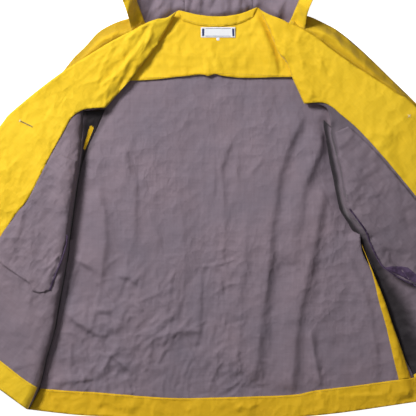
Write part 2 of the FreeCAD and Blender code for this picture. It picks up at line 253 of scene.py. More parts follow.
def triangulate(boundary, step):
    """Plan points and triangles that fill an outline evenly."""
    low, high = boundary.min(0), boundary.max(0)
    rows = []
    for k, y in enumerate(np.arange(low[1], high[1], step * 0.866)):
        x = np.arange(low[0] + (k % 2) * step / 2, high[0], step)
        rows.append(np.column_stack([x, np.full(len(x), y)]))
    grid = np.vstack(rows)
    grid = grid[inside(grid, boundary)]
    near, _, _ = nearest(grid[:, 0], grid[:, 1], np.vstack([boundary, boundary[:1]]))
    points = np.vstack([boundary, grid[near > 0.6 * step]])
    n = len(boundary)
    edges = [(k, (k + 1) % n) for k in range(n)]
    verts, _, faces, _, _, _ = delaunay_2d_cdt([Vector(p) for p in points], edges, [], 1, 1e-4)
    return np.array([tuple(v) for v in verts], float), faces


def add_object(name, verts, faces, materials, indices=None):
    """Smooth-shaded mesh object. indices give the material of each face."""
    mesh = bpy.data.meshes.new(name)
    mesh.from_pydata([tuple(v) for v in verts], [], faces)
    for material in materials:
        mesh.materials.append(material)
    if indices is not None:
        mesh.polygons.foreach_set("material_index", indices)
    mesh.polygons.foreach_set("use_smooth", [True] * len(mesh.polygons))
    mesh.update()
    piece = bpy.data.objects.new(name, mesh)
    bpy.context.scene.collection.objects.link(piece)
    return piece


def thicken(piece, gauge, offset=-1.0, two_sided=False):
    """Gives a sheet its thickness, downward by default; two_sided uses the second material below."""
    modifier = piece.modifiers.new("cloth", "SOLIDIFY")
    modifier.thickness = gauge * MM
    modifier.offset = offset
    modifier.use_even_offset = False
    modifier.material_offset = int(two_sided)


def apply_thickness(piece):
    """Turns a sheet's thickness into real faces."""
    bpy.ops.object.select_all(action="DESELECT")
    bpy.context.view_layer.objects.active = piece
    piece.select_set(True)
    bpy.ops.object.modifier_apply(modifier="cloth")


def upward(verts, faces):
    """Faces ordered so that their normals point up."""
    a, b, c = (verts[faces[0][k]] for k in range(3))
    turn = (b[0] - a[0]) * (c[1] - a[1]) - (b[1] - a[1]) * (c[0] - a[0])
    return faces if turn > 0 else [f[::-1] for f in faces]


def cloth(name, edges, height, materials, gauge=CLOTH_GAUGE, step=4.0, body="root",
          stands_in=True, flat=None, band_width=None):
    """A sheet of cloth cut to an outline, lying at a height given by a function of x and y.

    It stands in for the CAD node whose name is its own without the ending, unless told otherwise.
    """
    boundary = outline_of(edges, step)
    plan, faces = triangulate(boundary, step)
    z = height(plan[:, 0], plan[:, 1])
    verts = np.column_stack([plan, z]) * MM
    piece = add_object(name, verts, upward(verts, [tuple(f) for f in faces]), materials)
    thicken(piece, gauge, two_sided=len(materials) > 1)
    declare_sheet(piece, boundary, flat, band_width)
    if body:
        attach(piece, body)
    if stands_in:
        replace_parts(piece, name.removesuffix("_cloth"))
    return piece


def cut_size(boundary):
    """Width and length in metres of the smallest rectangle that holds the outline."""
    sizes = []
    for degrees in range(0, 90, 3):
        u, v = turned(boundary[:, 0], boundary[:, 1], degrees)
        sizes.append(sorted((float(np.ptp(u)) * MM, float(np.ptp(v)) * MM)))
    return min(sizes, key=lambda size: size[0] * size[1])


def declare_sheet(piece, boundary, flat, band_width):
    """Works out a sheet's cut: its outline grown to the cloth's own area, as folds take up some size. Nothing
    is kept or returned.
    """
    area = sum(face.area for face in piece.data.polygons)
    if band_width:
        flat = (band_width * MM, area / (band_width * MM))
    elif not flat:
        growth = math.sqrt(area / (area_of(boundary) * MM * MM))
        flat = [side * growth for side in cut_size(boundary)]
    flat = (round(flat[0], 4), round(flat[1], 4))
    area = round(min(area, flat[0] * flat[1]), 5)


# ---------------------------------------------------------------- materials


class Nodes:
    """Short way to add and link shader nodes."""

    def __init__(self, name):
        self.material = bpy.data.materials.new(name)
        self.material.use_nodes = True
        self.tree = self.material.node_tree
        self.shader = self.tree.nodes["Principled BSDF"]

    def add(self, kind, **values):
        node = self.tree.nodes.new(kind)
        for key, value in values.items():
            if key in node.inputs:
                node.inputs[key].default_value = value
            else:
                setattr(node, key, value)
        return node

    def link(self, source, output, target, socket):
        self.tree.links.new(source.outputs[output], target.inputs[socket])

    def texture(self, kind, source, **values):
        """Texture node whose coordinates come from the source node's own vector output."""
        node = self.add("ShaderNodeTex" + kind, **values)
        self.link(source, "Vector", node, "Vector")
        return node

    def mapping(self, source, output, socket, value):
        """Mapping node with one of its sockets set."""
        node = self.add("ShaderNodeMapping")
        node.inputs[socket].default_value = value
        self.link(source, output, node, "Vector")
        return node

    def ramp(self, source, dark, light):
        """Colour ramp over a texture's value."""
        node = self.add("ShaderNodeValToRGB")
        for element, colour in zip(node.color_ramp.elements, (dark, light)):
            element.color = (*colour, 1)
        self.link(source, "Fac", node, "Fac")
        return node

    def math(self, operation, *values):
        """Maths node; the values are (node, output) pairs or numbers."""
        node = self.add("ShaderNodeMath", operation=operation)
        for index, value in enumerate(values):
            if isinstance(value, tuple):
                self.tree.links.new(value[0].outputs[value[1]], node.inputs[index])
            else:
                node.inputs[index].default_value = value
        return node


THREADS, SLUBS, CLOUDS = 330.0, 260.0, 9.0  # texture scales of the weave, the slubs and the colour change


def woven(name, colour, shade, grain=0.0, roughness=0.72, crumple=0.5, slub=0.05, deep=None):
    """Plain-woven cloth: crossing threads, fine crumple, slubs and slow colour change.

    The last argument, (low, high, tone), paints shade into the colour: the cloth darkens to that tone from
    high down to low, in millimetres, standing in for the shade that falls deep in a fold.
    """
    n = Nodes(name)
    place = n.add("ShaderNodeTexCoord")
    turn = n.mapping(place, "Object", "Rotation", (0, 0, math.radians(grain)))
    threads = [n.texture("Wave", turn, Scale=THREADS, Distortion=0.6, Detail=1.0, bands_direction=direction)
               for direction in ("X", "Y")]
    weave = n.math("ADD", (threads[0], "Fac"), (threads[1], "Fac"))
    cloudy = n.texture("Noise", turn, Scale=CLOUDS, Detail=4.0, Roughness=0.6)
    fine = n.texture("Noise", turn, Scale=130.0, Detail=5.0, Roughness=0.62, Distortion=0.4)
    bent = n.texture("Noise", turn, Scale=30.0, Detail=3.0)
    shift = n.add("ShaderNodeVectorMath", operation="MULTIPLY_ADD")
    n.link(bent, "Color", shift, 0)
    shift.inputs[1].default_value = (0.006, 0.006, 0.006)
    n.link(turn, "Vector", shift, 2)
    cells = n.texture("Voronoi", shift, Scale=55.0, Randomness=1.0)
    planes = n.texture("Voronoi", shift, Scale=24.0, Randomness=1.0)

    ramp = n.ramp(cloudy, shade, colour)
    ramp.color_ramp.elements[0].position, ramp.color_ramp.elements[1].position = 0.3, 0.7
    streaks = [n.texture("Noise", n.mapping(turn, "Vector", "Scale", stretch), Scale=SLUBS, Detail=3.0)
               for stretch in ((1.0, 0.035, 1.0), (0.035, 1.0, 1.0))]
    both = n.math("ADD", (streaks[0], "Fac"), (streaks[1], "Fac"))
    tone = n.add("ShaderNodeHueSaturation")
    value = n.math("MULTIPLY_ADD", (both, "Value"), slub * 2, 1 - slub * 2)
    # Painted shade: the colour darkens with the cloth's height in object space, lowest darkest, as in the
    # shade of a fold.
    if deep:
        parts = n.add("ShaderNodeSeparateXYZ")
        n.link(place, "Object", parts, "Vector")
        painted_shade_by_height = n.add("ShaderNodeMapRange")
        painted_shade_by_height.interpolation_type = "SMOOTHSTEP"
        for socket, number in zip(("From Min", "From Max", "To Min"), (deep[0] * MM, deep[1] * MM, deep[2])):
            painted_shade_by_height.inputs[socket].default_value = number
        n.link(parts, "Z", painted_shade_by_height, "Value")
        value = n.math("MULTIPLY", (value, "Value"), (painted_shade_by_height, "Result"))
    n.link(value, "Value", tone, "Value")
    n.link(ramp, "Color", tone, "Color")
    n.link(tone, "Color", n.shader, "Base Color")

    sharp = []
    lengthwise = n.mapping(turn, "Vector", "Scale", (1.0, 0.5, 1.0))
    for scale in (34.0, 95.0):
        soft = n.texture("Noise", lengthwise, Scale=scale, Detail=1.5, Roughness=0.5, Distortion=0.5)
        centred = n.math("SUBTRACT", (soft, "Fac"), 0.5)
        sharp.append(n.math("ABSOLUTE", (centred, "Value"), 0.0))
    mask = n.add("ShaderNodeTexNoise", Scale=7.0, Detail=2.0)
    n.link(place, "Object", mask, "Vector")
    patch = n.math("MULTIPLY", (mask, "Fac"), (mask, "Fac"))
    sharp = [n.math("MULTIPLY", (node, "Value"), (patch, "Value")) for node in sharp]
    planar = [n.math("MULTIPLY", (node, "Distance"), (patch, "Value")) for node in (planes, cells)]
    # each layer of relief, with its output and its height in metres
    bumps = [(sharp[0], "Value", 0.014 * crumple), (sharp[1], "Value", 0.008 * crumple),
             (planar[0], "Value", 0.019 * crumple), (planar[1], "Value", 0.012 * crumple),
             (fine, "Fac", 0.0007 * crumple), (weave, "Value", 0.00006)]
    last = None
    for node, output, distance in bumps:
        bump = n.add("ShaderNodeBump", Strength=1.0, Distance=distance)
        n.link(node, output, bump, "Height")
        if last:
            n.link(last, "Normal", bump, "Normal")
        last = bump
    n.link(last, "Normal", n.shader, "Normal")
    rough = n.math("MULTIPLY_ADD", (fine, "Fac"), 0.16, roughness - 0.08)
    n.link(rough, "Value", n.shader, "Roughness")
    n.shader.inputs["Sheen Weight"].default_value = 0.12
    n.shader.inputs["Sheen Roughness"].default_value = 0.45
    n.shader.inputs["Specular IOR Level"].default_value = 0.3
    return n.material


def grey(name, tones, **more):
    """The lining side of the cloth, whose slubs show more than on the yellow side."""
    return woven(name, *tones, slub=0.085, **more)


RIGHT_GRAIN, LEFT_GRAIN = 37, -41
GREY = (0.232, 0.174, 0.208), (0.188, 0.152, 0.19)
# Painted shade: the left front's grey is a darker copy of GREY, used for its lining and its side panel.
GREY_LEFT_SHADED = (0.20, 0.152, 0.182), (0.165, 0.133, 0.166)
YELLOW = woven("yellow_cloth", (0.86, 0.565, 0.016), (0.82, 0.51, 0.010))
YELLOW_RIGHT = woven("yellow_cloth_right_grain", (0.86, 0.575, 0.018), (0.83, 0.53, 0.012), grain=RIGHT_GRAIN)
YELLOW_LEFT = woven("yellow_cloth_left_grain", (0.86, 0.565, 0.016), (0.82, 0.515, 0.010), grain=LEFT_GRAIN)
# Painted shade: a darker, more orange copy of the yellow for the back hem, the left side strip and the armhole
# patch.
YELLOW_HEM_SHADED = woven("yellow_cloth_hem", (0.81, 0.49, 0.007), (0.72, 0.41, 0.005))
# Painted shade: the shoulders' yellow is a darker copy that darkens further toward their low parts.
YELLOW_SHOULDER_SHADED = woven("yellow_cloth_shoulder", (0.84, 0.54, 0.014), (0.76, 0.46, 0.008), deep=(10, 27, 0.62))
MAUVE = grey("grey_cloth", GREY)
# Painted shade on the front linings: each darkens toward its lowest, rounded-down parts.
MAUVE_RIGHT = grey("grey_cloth_right_grain", ((0.236, 0.176, 0.206), (0.19, 0.15, 0.185)), grain=RIGHT_GRAIN,
                   deep=(22, 33, 0.6))
MAUVE_LEFT = grey("grey_cloth_left_grain", GREY_LEFT_SHADED, grain=LEFT_GRAIN, deep=(22, 36, 0.55))
# Painted shade in the back's fold valleys: the grey darkens where the cloth lies lowest.
MAUVE_BACK = grey("grey_cloth_back", GREY, deep=(1.4, 3.9, 0.30))
# Painted shade: the side panels darken nearly to black low down, standing in for the deep shade in the gaps
# beside the fronts.
MAUVE_SIDE_RIGHT_SHADED = grey("grey_cloth_side_right", ((0.22, 0.165, 0.195), (0.18, 0.145, 0.178)),
                        grain=RIGHT_GRAIN, deep=(8, 24, 0.08))
MAUVE_SIDE_LEFT_SHADED = grey("grey_cloth_side_left", GREY_LEFT_SHADED, grain=LEFT_GRAIN, deep=(7, 21, 0.12))
BINDING = woven("purple_overlock", (0.085, 0.05, 0.11), (0.06, 0.035, 0.08), crumple=1.0)
LABEL = woven("label_satin", (0.84, 0.85, 0.88), (0.78, 0.79, 0.83), roughness=0.5, crumple=0.15, slub=0.03)
LABEL_BLUE = woven("label_blue", (0.03, 0.045, 0.16), (0.025, 0.035, 0.12), roughness=0.5, crumple=0.15)
THREAD = woven("sewing_thread", (0.72, 0.50, 0.06), (0.62, 0.42, 0.04), roughness=0.6, crumple=0.1)
PALE_THREAD = woven("pale_thread", (0.86, 0.80, 0.62), (0.80, 0.74, 0.55), roughness=0.6, crumple=0.1)


def button_material():
    """Horn-like polished plastic with slow dark streaks."""
    n = Nodes("button_horn")
    place = n.add("ShaderNodeTexCoord")
    streak = n.add("ShaderNodeTexNoise", Scale=140.0, Detail=6.0, Distortion=1.6)
    n.link(place, "Object", streak, "Vector")
    ramp = n.ramp(streak, (0.05, 0.028, 0.012), (0.26, 0.16, 0.07))
    n.link(ramp, "Color", n.shader, "Base Color")
    bump = n.add("ShaderNodeBump", Strength=0.3, Distance=0.0001)
    n.link(streak, "Fac", bump, "Height")
    n.link(bump, "Normal", n.shader, "Normal")
    n.shader.inputs["Roughness"].default_value = 0.28
    n.shader.inputs["Coat Weight"].default_value = 0.3
    return n.material


HORN = button_material()

# ---------------------------------------------------------------- landmarks, in millimetres

RIGHT_ROLL = [(-74, 361), (-98, 320), (-112, 297), (-134, 269), (-156, 241), (-178, 216), (-198, 193)]
RIGHT_LIP = [(-198, 193), (-218, 190.5), (-237, 187)]
RIGHT_INNER = [(-237, 187), (-238, 160), (-241, 124), (-246, 80), (-253, 35), (-263, -37), (-267, -72),
               (-281, -150), (-290, -201), (-303, -247), (-315, -296), (-334, -335)]
RIGHT_EDGE = [(-605, -137), (-494, 11), (-383, 159), (-369, 178), (-343, 201), (-315, 224), (-278, 252),
              (-252, 269), (-196, 304), (-151, 328), (-131, 339)]
RIGHT_TOP = [(-131, 339), (-112, 347), (-90, 351), (-74, 361)]
LEFT_ROLL = [(72, 364), (88, 330), (103, 292), (120, 270), (130, 242), (141, 218), (149, 200)]
LEFT_LIP = [(149, 200), (172, 199), (190, 190), (197, 158)]
LEFT_INNER = [(197, 158), (196, 146), (201, 125), (213, 77), (224, 16), (248, -14), (300, -66), (350, -130),
              (384, -196), (406, -244), (420, -266)]
LEFT_EDGE = [(618, -120), (482, 36), (345, 192), (313, 216), (274, 242), (240, 264), (211, 284), (190, 300),
             (169, 316), (140, 333), (122, 341)]
LEFT_TOP = [(122, 341), (106, 349), (90, 355), (72, 364)]
NECK = [(-72, 365), (-36, 356.5), (1, 353.5), (36, 358), (68, 370)]

# ---------------------------------------------------------------- back


BACK_FOLDS = [
    # line, height, steep side, gentle side, fade
    ([(153, 190), (126, 137), (104, 76), (90, -26), (87, -85), (78, -150), (72, -201), (66, -247), (60, -300)],
     11.0, 9, 40, 0.08),
    ([(184, 60), (172, -10), (163, -60), (146, -136), (135, -180), (133, -215), (131, -247), (127, -314)],
     12.5, 10, 26, 0.08),
    ([(188, 168), (176, 122), (160, 82), (147, 52), (141, 20), (136, -30), (130, -90)], 12.0, 9, 26, 0.12),
    ([(160, -190), (165, -230), (172, -266), (178, -300)], 6.0, 6, 8, 0.2),
    ([(216, -40), (234, -85), (262, -150), (274, -224), (282, -292)], 5.0, 7, 18, 0.2),
    ([(244, -20), (251, -50), (270, -99), (285, -145), (298, -187), (313, -238), (326, -284), (334, -320)],
     13.0, 9, 22, 0.06),
    ([(-216, 60), (-201, 10), (-199, -40), (-204, -80), (-212, -132)], 7.0, 8, 24, 0.2),
    ([(-176, 140), (-158, 84), (-146, 60), (-148, 20), (-150, -70)], 4.0, 7, 22, 0.2),
    ([(30, 150), (14, 116), (4, 86), (8, 44), (10, -26), (6, -90)], 3.0, 4, 14, 0.15),
    ([(-8, 120), (-9, 20)], 2.2, 3.5, 12, 0.3),
    ([(-31, -90), (-33, -168), (-33, -216)], 3.2, 3.5, 12, 0.2),
    ([(-206, -97), (-240, -78), (-268, -66)], 6.0, 3.5, 22, 0.45),
    ([(-188, -218), (-213, -202), (-246, -184), (-283, -154)], 10.0, 5, 26, 0.45),
    ([(-218, -160), (-186, -162)], 4.0, 4, 9, 0.3),
    ([(-156, -136), (-172, -178), (-186, -208)], 4.5, 8, 12, 0.25),
    ([(-142, -282), (-170, -256), (-198, -232)], 6.5, 3.5, 20, 0.45),
    ([(-172, -218), (-191, -243), (-211, -286)], 4.0, 5, 6, 0.2),
    ([(-140, -119), (-156, -105), (-181, -101)], 4.5, 3, 14, 0.25),
    ([(-141, -236), (-109, -208), (-74, -199), (-18, -197)], 4.0, 5, 6, 0.2),
    ([(-196, -280), (-244, -285), (-292, -290)], 6.0, 4, 16, 0.4),
    ([(82, 110), (50, 72)], 2.4, 5, 7, 0.3),
    ([(-126, 20), (-108, -30), (-96, -60)], 2.6, 6, 12, 0.3),
    ([(-103, -130), (-88, -175), (-110, -196)], 3.0, 5, 8, 0.25),
    ([(-70, 60), (-62, -30), (-58, -120)], 2.4, 9, 24, 0.25),
    ([(50, 40), (44, -60), (36, -190), (30, -280)], 3.0, 9, 26, 0.25),
]


BACK_VALLEY = [(-205, 185), (-221, 158), (-240, 116), (-250, 60), (-259, 10), (-268, -38), (-284, -159),
               (-307, -243), (-334, -336)]
BACK_VALLEY_LEFT = [(186, 168), (190, 140), (197, 120), (208, 77), (219, 16), (238, -14)]


BACK_WRINKLES = [
    # seed, count, box, heading, length, height, width, spread
    (11, 120, (-270, -300, 40, -60), 68, 46, 2.3, 3.2, 36),
    (12, 120, (-240, -310, 80, -170), 50, 30, 2.4, 2.8, 50),
    (13, 60, (-220, -80, 220, 240), 86, 50, 0.9, 3.2, 22),
    (14, 60, (150, -280, 290, -100), 3, 26, 0.8, 2.4, 14),
    (16, 60, (-100, -300, 140, -80), 84, 50, 1.0, 2.8, 12),
]
BACK_LOWEST, BACK_HIGHEST = 2.5, 15.5  # the fronts lie over it when they are closed


def back_height(x, y):
    """Relief of the back panel: long soft folds and crumple that grows toward the hem."""
    low = smooth((80 - y) / 330)
    corner = smooth((60 - x) / 260) * smooth((-60 - y) / 160)
    z = 5.2 + 1.3 * rolling(x, y / 2.6, 64, 3, 2) + 1.4 * rolling(x, y, 150, 4)
    patchy = smooth(0.5 + 0.9 * lattice(x, y, 130, 77))
    z = z + (0.3 + 1.4 * low) * patchy * facets(x, y, 40, 6, 4.0, 86)
    z = z + 4.5 * corner * facets(x, y, 32, 16, 1.4, 60) + 2.2 * corner * facets(x, y, 15, 19, 1.4, 40)
    z = with_wrinkles(with_folds(z, x, y, BACK_FOLDS), x, y, BACK_WRINKLES)
    for valley, depth, width in ((BACK_VALLEY, 0.75, 17), (BACK_VALLEY_LEFT, 0.7, 10)):
        distance, _, _ = nearest(x, y, valley)
        z = z * (1 - depth * np.exp(-((distance / width) ** 2)))
    return limited(np.maximum(z, BACK_LOWEST), BACK_HIGHEST)


def build_back():
    """The back reaches a little under each sleeve head, where the armhole seam turns in."""
    hem = [(-334, -336), (-212, -347.5), (0, -352), (169, -346.5), (350, -322)]
    right_side = [(-258, 50), (-264, 10), (-270, -38), (-284, -159), (-307, -243), (-320, -300), (-334, -336)]
    left_side = [(350, -322), (342, -279), (324, -243), (306, -199), (272, -101), (249, -47), (249, 69)]
    left_arm = [(249, 69), (237, 112), (237, 150), (254, 180), (280, 197), (307, 200)]
    left_shoulder = [(330, 212), (261, 284), (208, 329), (163, 350), (148, 355)]
    left_neck = [(148, 355), (122, 340), (90, 354), (68, 370)]
    right_neck = [(-72, 365), (-91, 350), (-131, 339), (-150, 350)]
    right_shoulder = [(-150, 350), (-191, 336), (-233, 300), (-278, 250), (-331, 191)]
    right_arm = [(-309, 190), (-280, 177), (-262, 158), (-252, 135), (-253, 110), (-256, 80), (-258, 50)]
    edges = [hem, left_side, left_arm, left_shoulder, left_neck, NECK[::-1], right_neck, right_shoulder,
             right_arm, right_side]
    cloth("back_panel_cloth", edges, back_height, [MAUVE_BACK, YELLOW], step=3.35)


YOKE_EDGE = [(281, 247), (205, 246), (128, 247), (104, 247), (45, 245.6), (7, 249), (-6, 252.5), (-19, 248.5),
             (-32, 252), (-71, 247.5), (-116, 242.5), (-157, 241), (-210, 243), (-256, 246)]
YOKE_FOLDS = [
    ([(-13, 314), (-11, 284), (8, 256)], 2.6, 4, 9, 0.2),
    ([(-24, 290), (-19, 252)], 2.2, 4, 7, 0.25),
    ([(12, 286), (33, 260)], 1.8, 4, 7, 0.25),
    ([(-130, 296), (-78, 286), (-22, 283)], 1.8, 4, 9, 0.2),
    ([(-118, 276), (-70, 268), (-34, 270)], 1.5, 4, 8, 0.2),
    ([(60, 318), (84, 284), (100, 262)], 1.8, 5, 9, 0.2),
    ([(40, 305), (50, 280), (44, 258)], 1.6, 4, 8, 0.25),
    ([(-64, 345), (-78, 325), (-104, 308)], 2.6, 5, 8, 0.2),
    ([(64, 358), (69, 348), (80, 327), (92, 300), (99, 276), (103, 250)], 6.0, 4, 16, 0.12),
    ([(74, 330), (88, 296), (92, 268)], 2.5, 3, 8, 0.2),
]


def yoke_height(x, y):
    """Yoke facing over the back: it lifts a little along its free lower edge."""
    z = 6.8 + 1.4 * rolling(x, y, 120, 3) + 2.2 * facets(x, y, 30, 31, 1.5, 60)
    z = with_folds(z, x, y, YOKE_FOLDS) + wrinkles(x, y, 15, 120, (-160, 240, 140, 350), 80, 30, 1.2, 2.4, 45)
    distance, _, _ = nearest(x, y, YOKE_EDGE)
    return z + (3.0 + 1.2 * lattice(x, y, 26, 8)) * np.exp(-((distance / 9.0) ** 2))


def build_yoke():
    left = [(68, 370), (90, 352), (122, 338)]
    left_side = [(122, 338), (159, 338), (201, 317), (251, 273), (281, 247)]
    right_side = [(-256, 246), (-224, 290), (-186, 322), (-131, 336)]
    right = [(-131, 336), (-91, 348), (-72, 365)]
    cloth("back_yoke_facing_cloth", [NECK, left, left_side, YOKE_EDGE, right_side, right], yoke_height,
          [YELLOW], gauge=FACING_GAUGE)


def stand_height(x, y):
    """Collar stand, one layer above the yoke facing."""
    return yoke_height(x, y) + 1.4


def build_collar():
    low = [(60, 352), (36, 341), (1, 335.5), (-36, 338), (-64, 346)]
    cloth("collar_stand_cloth", [NECK, low], stand_height, [YELLOW], step=3.0)


def label_height(x, y):
    """The label is stiffer than the yoke, so it follows only part of its relief."""
    return yoke_height(x, y) * 0.35 + 5.9 + 0.25 * rolling(x, y, 24, 5)


def build_label():
    """Blank label with blue end blocks, thin blue lines between them and a tab below."""
    x0, y0, x1, y1 = -31.5, 316.4, 29.0, 334.6
    corners = [(x0, y0), (x1, y0), (x1, y1), (x0, y1), (x0, y0)]
    cloth("neck_label_cloth", [corners[k:k + 2] for k in range(4)], label_height, [LABEL], gauge=0.4, step=1.5)
    inset, border, block, hairline = 4.0, 2.5, 4.0, 0.7
    low, high = y0 + border, y1 - border
    bars = [((x, low), (x, high), block) for x in (x0 + inset, x1 - inset)]
    bars += [((x0 + 2 * inset, y), (x1 - 2 * inset, y), hairline) for y in (low, high)]
    for index, (a, b, width) in enumerate(bars):
        band("neck_label_bar_%d" % index, lifted([a, b], label_height, 0.05, 1.5), width, 0.2,
             LABEL_BLUE, "root")
    tab = band("size_tab_ribbon", lifted([(-1.5, 317), (-1.5, 311)], label_height, -0.9, 1.5), 7.0, 0.4,
               LABEL, "root")
    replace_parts(tab, "size_tab")


HEM_FOLDS = [
    ([(204, -313), (259, -310), (296, -309)], 2.4, 2.5, 9, 0.1),
    ([(299, -286), (299, -309)], 2.0, 2.5, 8, 0.2),
    ([(26, -338), (40, -328), (52, -334), (70, -322)], 2.6, 4, 5, 0.2),
    ([(176, -300), (184, -322), (188, -344)], 2.4, 5, 14, 0.2),
    ([(-60, -322), (-48, -340)], 1.8, 4, 6, 0.25),
    ([(-206, -316), (-214, -344)], 1.2, 3, 6, 0.25),
]


def hem_height(x, y):
    """Turned hem over the back, with its own folds and fine creases."""
    z = with_folds(back_height(x, y) + 1.6, x, y, HEM_FOLDS)
    return (z + 1.2 * facets(x, y, 18, 41, 1.5, 100)
            + wrinkles(x, y, 17, 90, (-320, -350, 340, -290), 90, 16, 1.0, 2.2, 40))


def build_back_hem():
    top = [(-313, -299), (-262, -303), (-210, -306), (-162, -310), (-114, -314), (-64, -316), (-16, -315),
           (58, -313), (132, -310), (172, -302), (240, -294), (312, -283.5), (348, -279)]
    low = [(350, -322), (169, -346.5), (0, -352), (-212, -347.5), (-334, -336)]
    cloth("back_hem_facing_cloth", [top, low], hem_height, [YELLOW_HEM_SHADED], gauge=FACING_GAUGE, step=3.0)


def build_side_strips():
    left = [(250, -46), (269, -99), (280, -145), (292, -187), (306, -247), (315, -283)]
    left_outer = [(337, -281), (320, -229), (303, -182), (290, -143), (272, -99), (252, -50)]
    cloth("left_side_strip_cloth", [left, left_outer],
          lambda x, y: back_height(x, y) + 1.6 + 1.3 * creases(x, y, 12, 4), [YELLOW_HEM_SHADED], step=2.4,
          flat=(0.024, 0.254))
    right = [(-266, -38), (-282, -159), (-304, -243), (-313, -285)]
    right_inner = [(-303, -285), (-294, -243), (-272, -159), (-256, -38)]
    cloth("right_side_strip_cloth", [right, right_inner],
          lambda x, y: back_height(x, y) + 1.2, [MAUVE, YELLOW], step=3.0,
          flat=(0.0125, 0.253))


# ---------------------------------------------------------------- fronts


RIGHT_FACING_EDGE = [(-198, 193), (-220, 192), (-238, 189), (-257, 176), (-273, 148), (-295, 108),
                     (-319, 60), (-335, 31), (-359, 1), (-381, -33), (-446, -118), (-513, -205)]
LEFT_FACING_EDGE = [(149, 200), (180, 202), (198, 194), (212, 182), (240, 158), (272, 124), (313, 76),
                    (345, 37), (435, -75), (527, -188)]


FRONTS = {
    # inner boundary, roll line, noise seed, lean of the crumple, drop of the inner rim
    "right": (RIGHT_INNER, RIGHT_ROLL, 51, 65, 13.0),
    "left": (LEFT_INNER, LEFT_ROLL, 71, 115, 9.0),
}
INNER_RIM, ROLL_REACH, ROLL_DROP, ROLL_EDGE = 16.0, 150.0, 15.5, 4.0


def front_base(x, y, side, rounded=True):
    """Top of a turned-out front: gentle relief, rounded down along its inner boundary and its roll."""
    inner, roll, seed, lean, drop = FRONTS[side]
    z = FRONT_TOP - 2.5 + 1.6 * rolling(x, y, 110, seed) + 2.6 * facets(x, y, 40, seed + 2, 2.0, lean)
    if rounded:
        distance, _, _ = nearest(x, y, inner)
        rim = np.clip(1 - distance / INNER_RIM, 0, 1)
        z = z - drop * (1 - np.sqrt(np.maximum(1 - rim**2, 0)))
    distance, _, _ = nearest(x, y, roll)
    rim = np.clip(1 - distance / ROLL_REACH, 0, 1)
    return z - ROLL_DROP * rim - ROLL_EDGE * (1 - np.sqrt(np.maximum(1 - rim**16, 0)))


def under_facing(z, x, y, base, edge, way):
    """Lining relief z, pressed smooth and a little lower where the facing covers it."""
    distance, side, _ = nearest(x, y, edge)
    return z + (base - 2.0 - z) * smooth(0.2 + way * side * distance / 9)


RIGHT_FOLDS = [
    ([(-296, 114), (-283, 101), (-272, 77), (-256, 60)], 2.6, 4, 12, 0.15),
    ([(-341, 24), (-346, -12), (-364, -73)], 3.2, 5, 14, 0.15),
    ([(-383, -74), (-366, -86), (-334, -111)], 2.6, 4, 12, 0.15),
    ([(-262, 150), (-272, 60), (-280, -20), (-290, -90)], 4.0, 22, 14, 0.2),
    ([(-326, 20), (-328, -60), (-332, -150), (-336, -210)], 2.4, 8, 10, 0.2),
    ([(-262, 110), (-262, 40), (-272, -30)], 2.0, 8, 10, 0.2),
    ([(-306, -160), (-322, -196), (-330, -232)], 3.0, 10, 14, 0.2),
    ([(-360, -170), (-350, -215), (-330, -262)], 2.0, 8, 12, 0.2),
]


RIGHT_WRINKLES = [
    (21, 150, (-560, -300, -240, 170), 70, 40, 1.1, 2.8, 35),
    (22, 60, (-345, -60, -265, 100), 100, 30, 1.0, 2.4, 30),
    (29, 60, (-312, -126, -268, -40), 58, 22, 2.2, 2.2, 8),
]


def right_height(x, y):
    """Lining side of the right front, which lies turned out."""
    base = front_base(x, y, "right")
    z = with_wrinkles(with_folds(base, x, y, RIGHT_FOLDS), x, y, RIGHT_WRINKLES)
    return under_facing(z, x, y, base, RIGHT_FACING_EDGE, -1)


LEFT_FOLDS = [
    ([(206, 112), (236, 86), (250, 77)], 5.5, 5, 14, 0.12),
    ([(238, 84), (250, 77), (264, 82), (275, 96)], 4.0, 4, 10, 0.12),
    ([(229, 60), (243, 40), (271, 24), (290, 10)], 6.5, 5, 15, 0.12),
    ([(180, 190), (190, 172), (197, 158)], 4.0, 5, 7, 0.2),
    ([(236, 150), (220, 130), (206, 120)], 4.0, 5, 9, 0.2),
    ([(255, -14), (286, -18), (312, -30)], 4.5, 4, 11, 0.2),
    ([(262, -40), (290, -44), (325, -30)], 4.0, 4, 10, 0.2),
    ([(300, 50), (318, 0), (330, -60)], 5.5, 10, 18, 0.2),
    ([(268, 30), (284, -10), (296, -50)], 4.0, 6, 12, 0.2),
    ([(330, -60), (345, -100)], 3.0, 6, 9, 0.2),
]


LEFT_WRINKLES = [
    (23, 150, (210, -300, 560, 170), 110, 40, 1.1, 2.8, 35),
    (24, 90, (215, -100, 345, 90), 20, 24, 2.0, 2.8, 45),
]


def left_height(x, y):
    """Lining side of the left front, held under a top so that it clears the back when closed."""
    base = front_base(x, y, "left")
    z = with_wrinkles(with_folds(base, x, y, LEFT_FOLDS), x, y, LEFT_WRINKLES)
    return limited(under_facing(z, x, y, base, LEFT_FACING_EDGE, 1), FRONT_TOP + 2.5)


def facing_height(x, y, side, swell, centre, width, folds, rows):
    """Facing over a front: smooth base, a swell beside the roll line, folds and creases."""
    z = front_base(x, y, side, rounded=False) + 1.7
    distance, _, _ = nearest(x, y, FRONTS[side][1])
    z = z + swell * np.exp(-(((distance - centre) / width) ** 2))
    return with_wrinkles(with_folds(z, x, y, folds), x, y, rows)


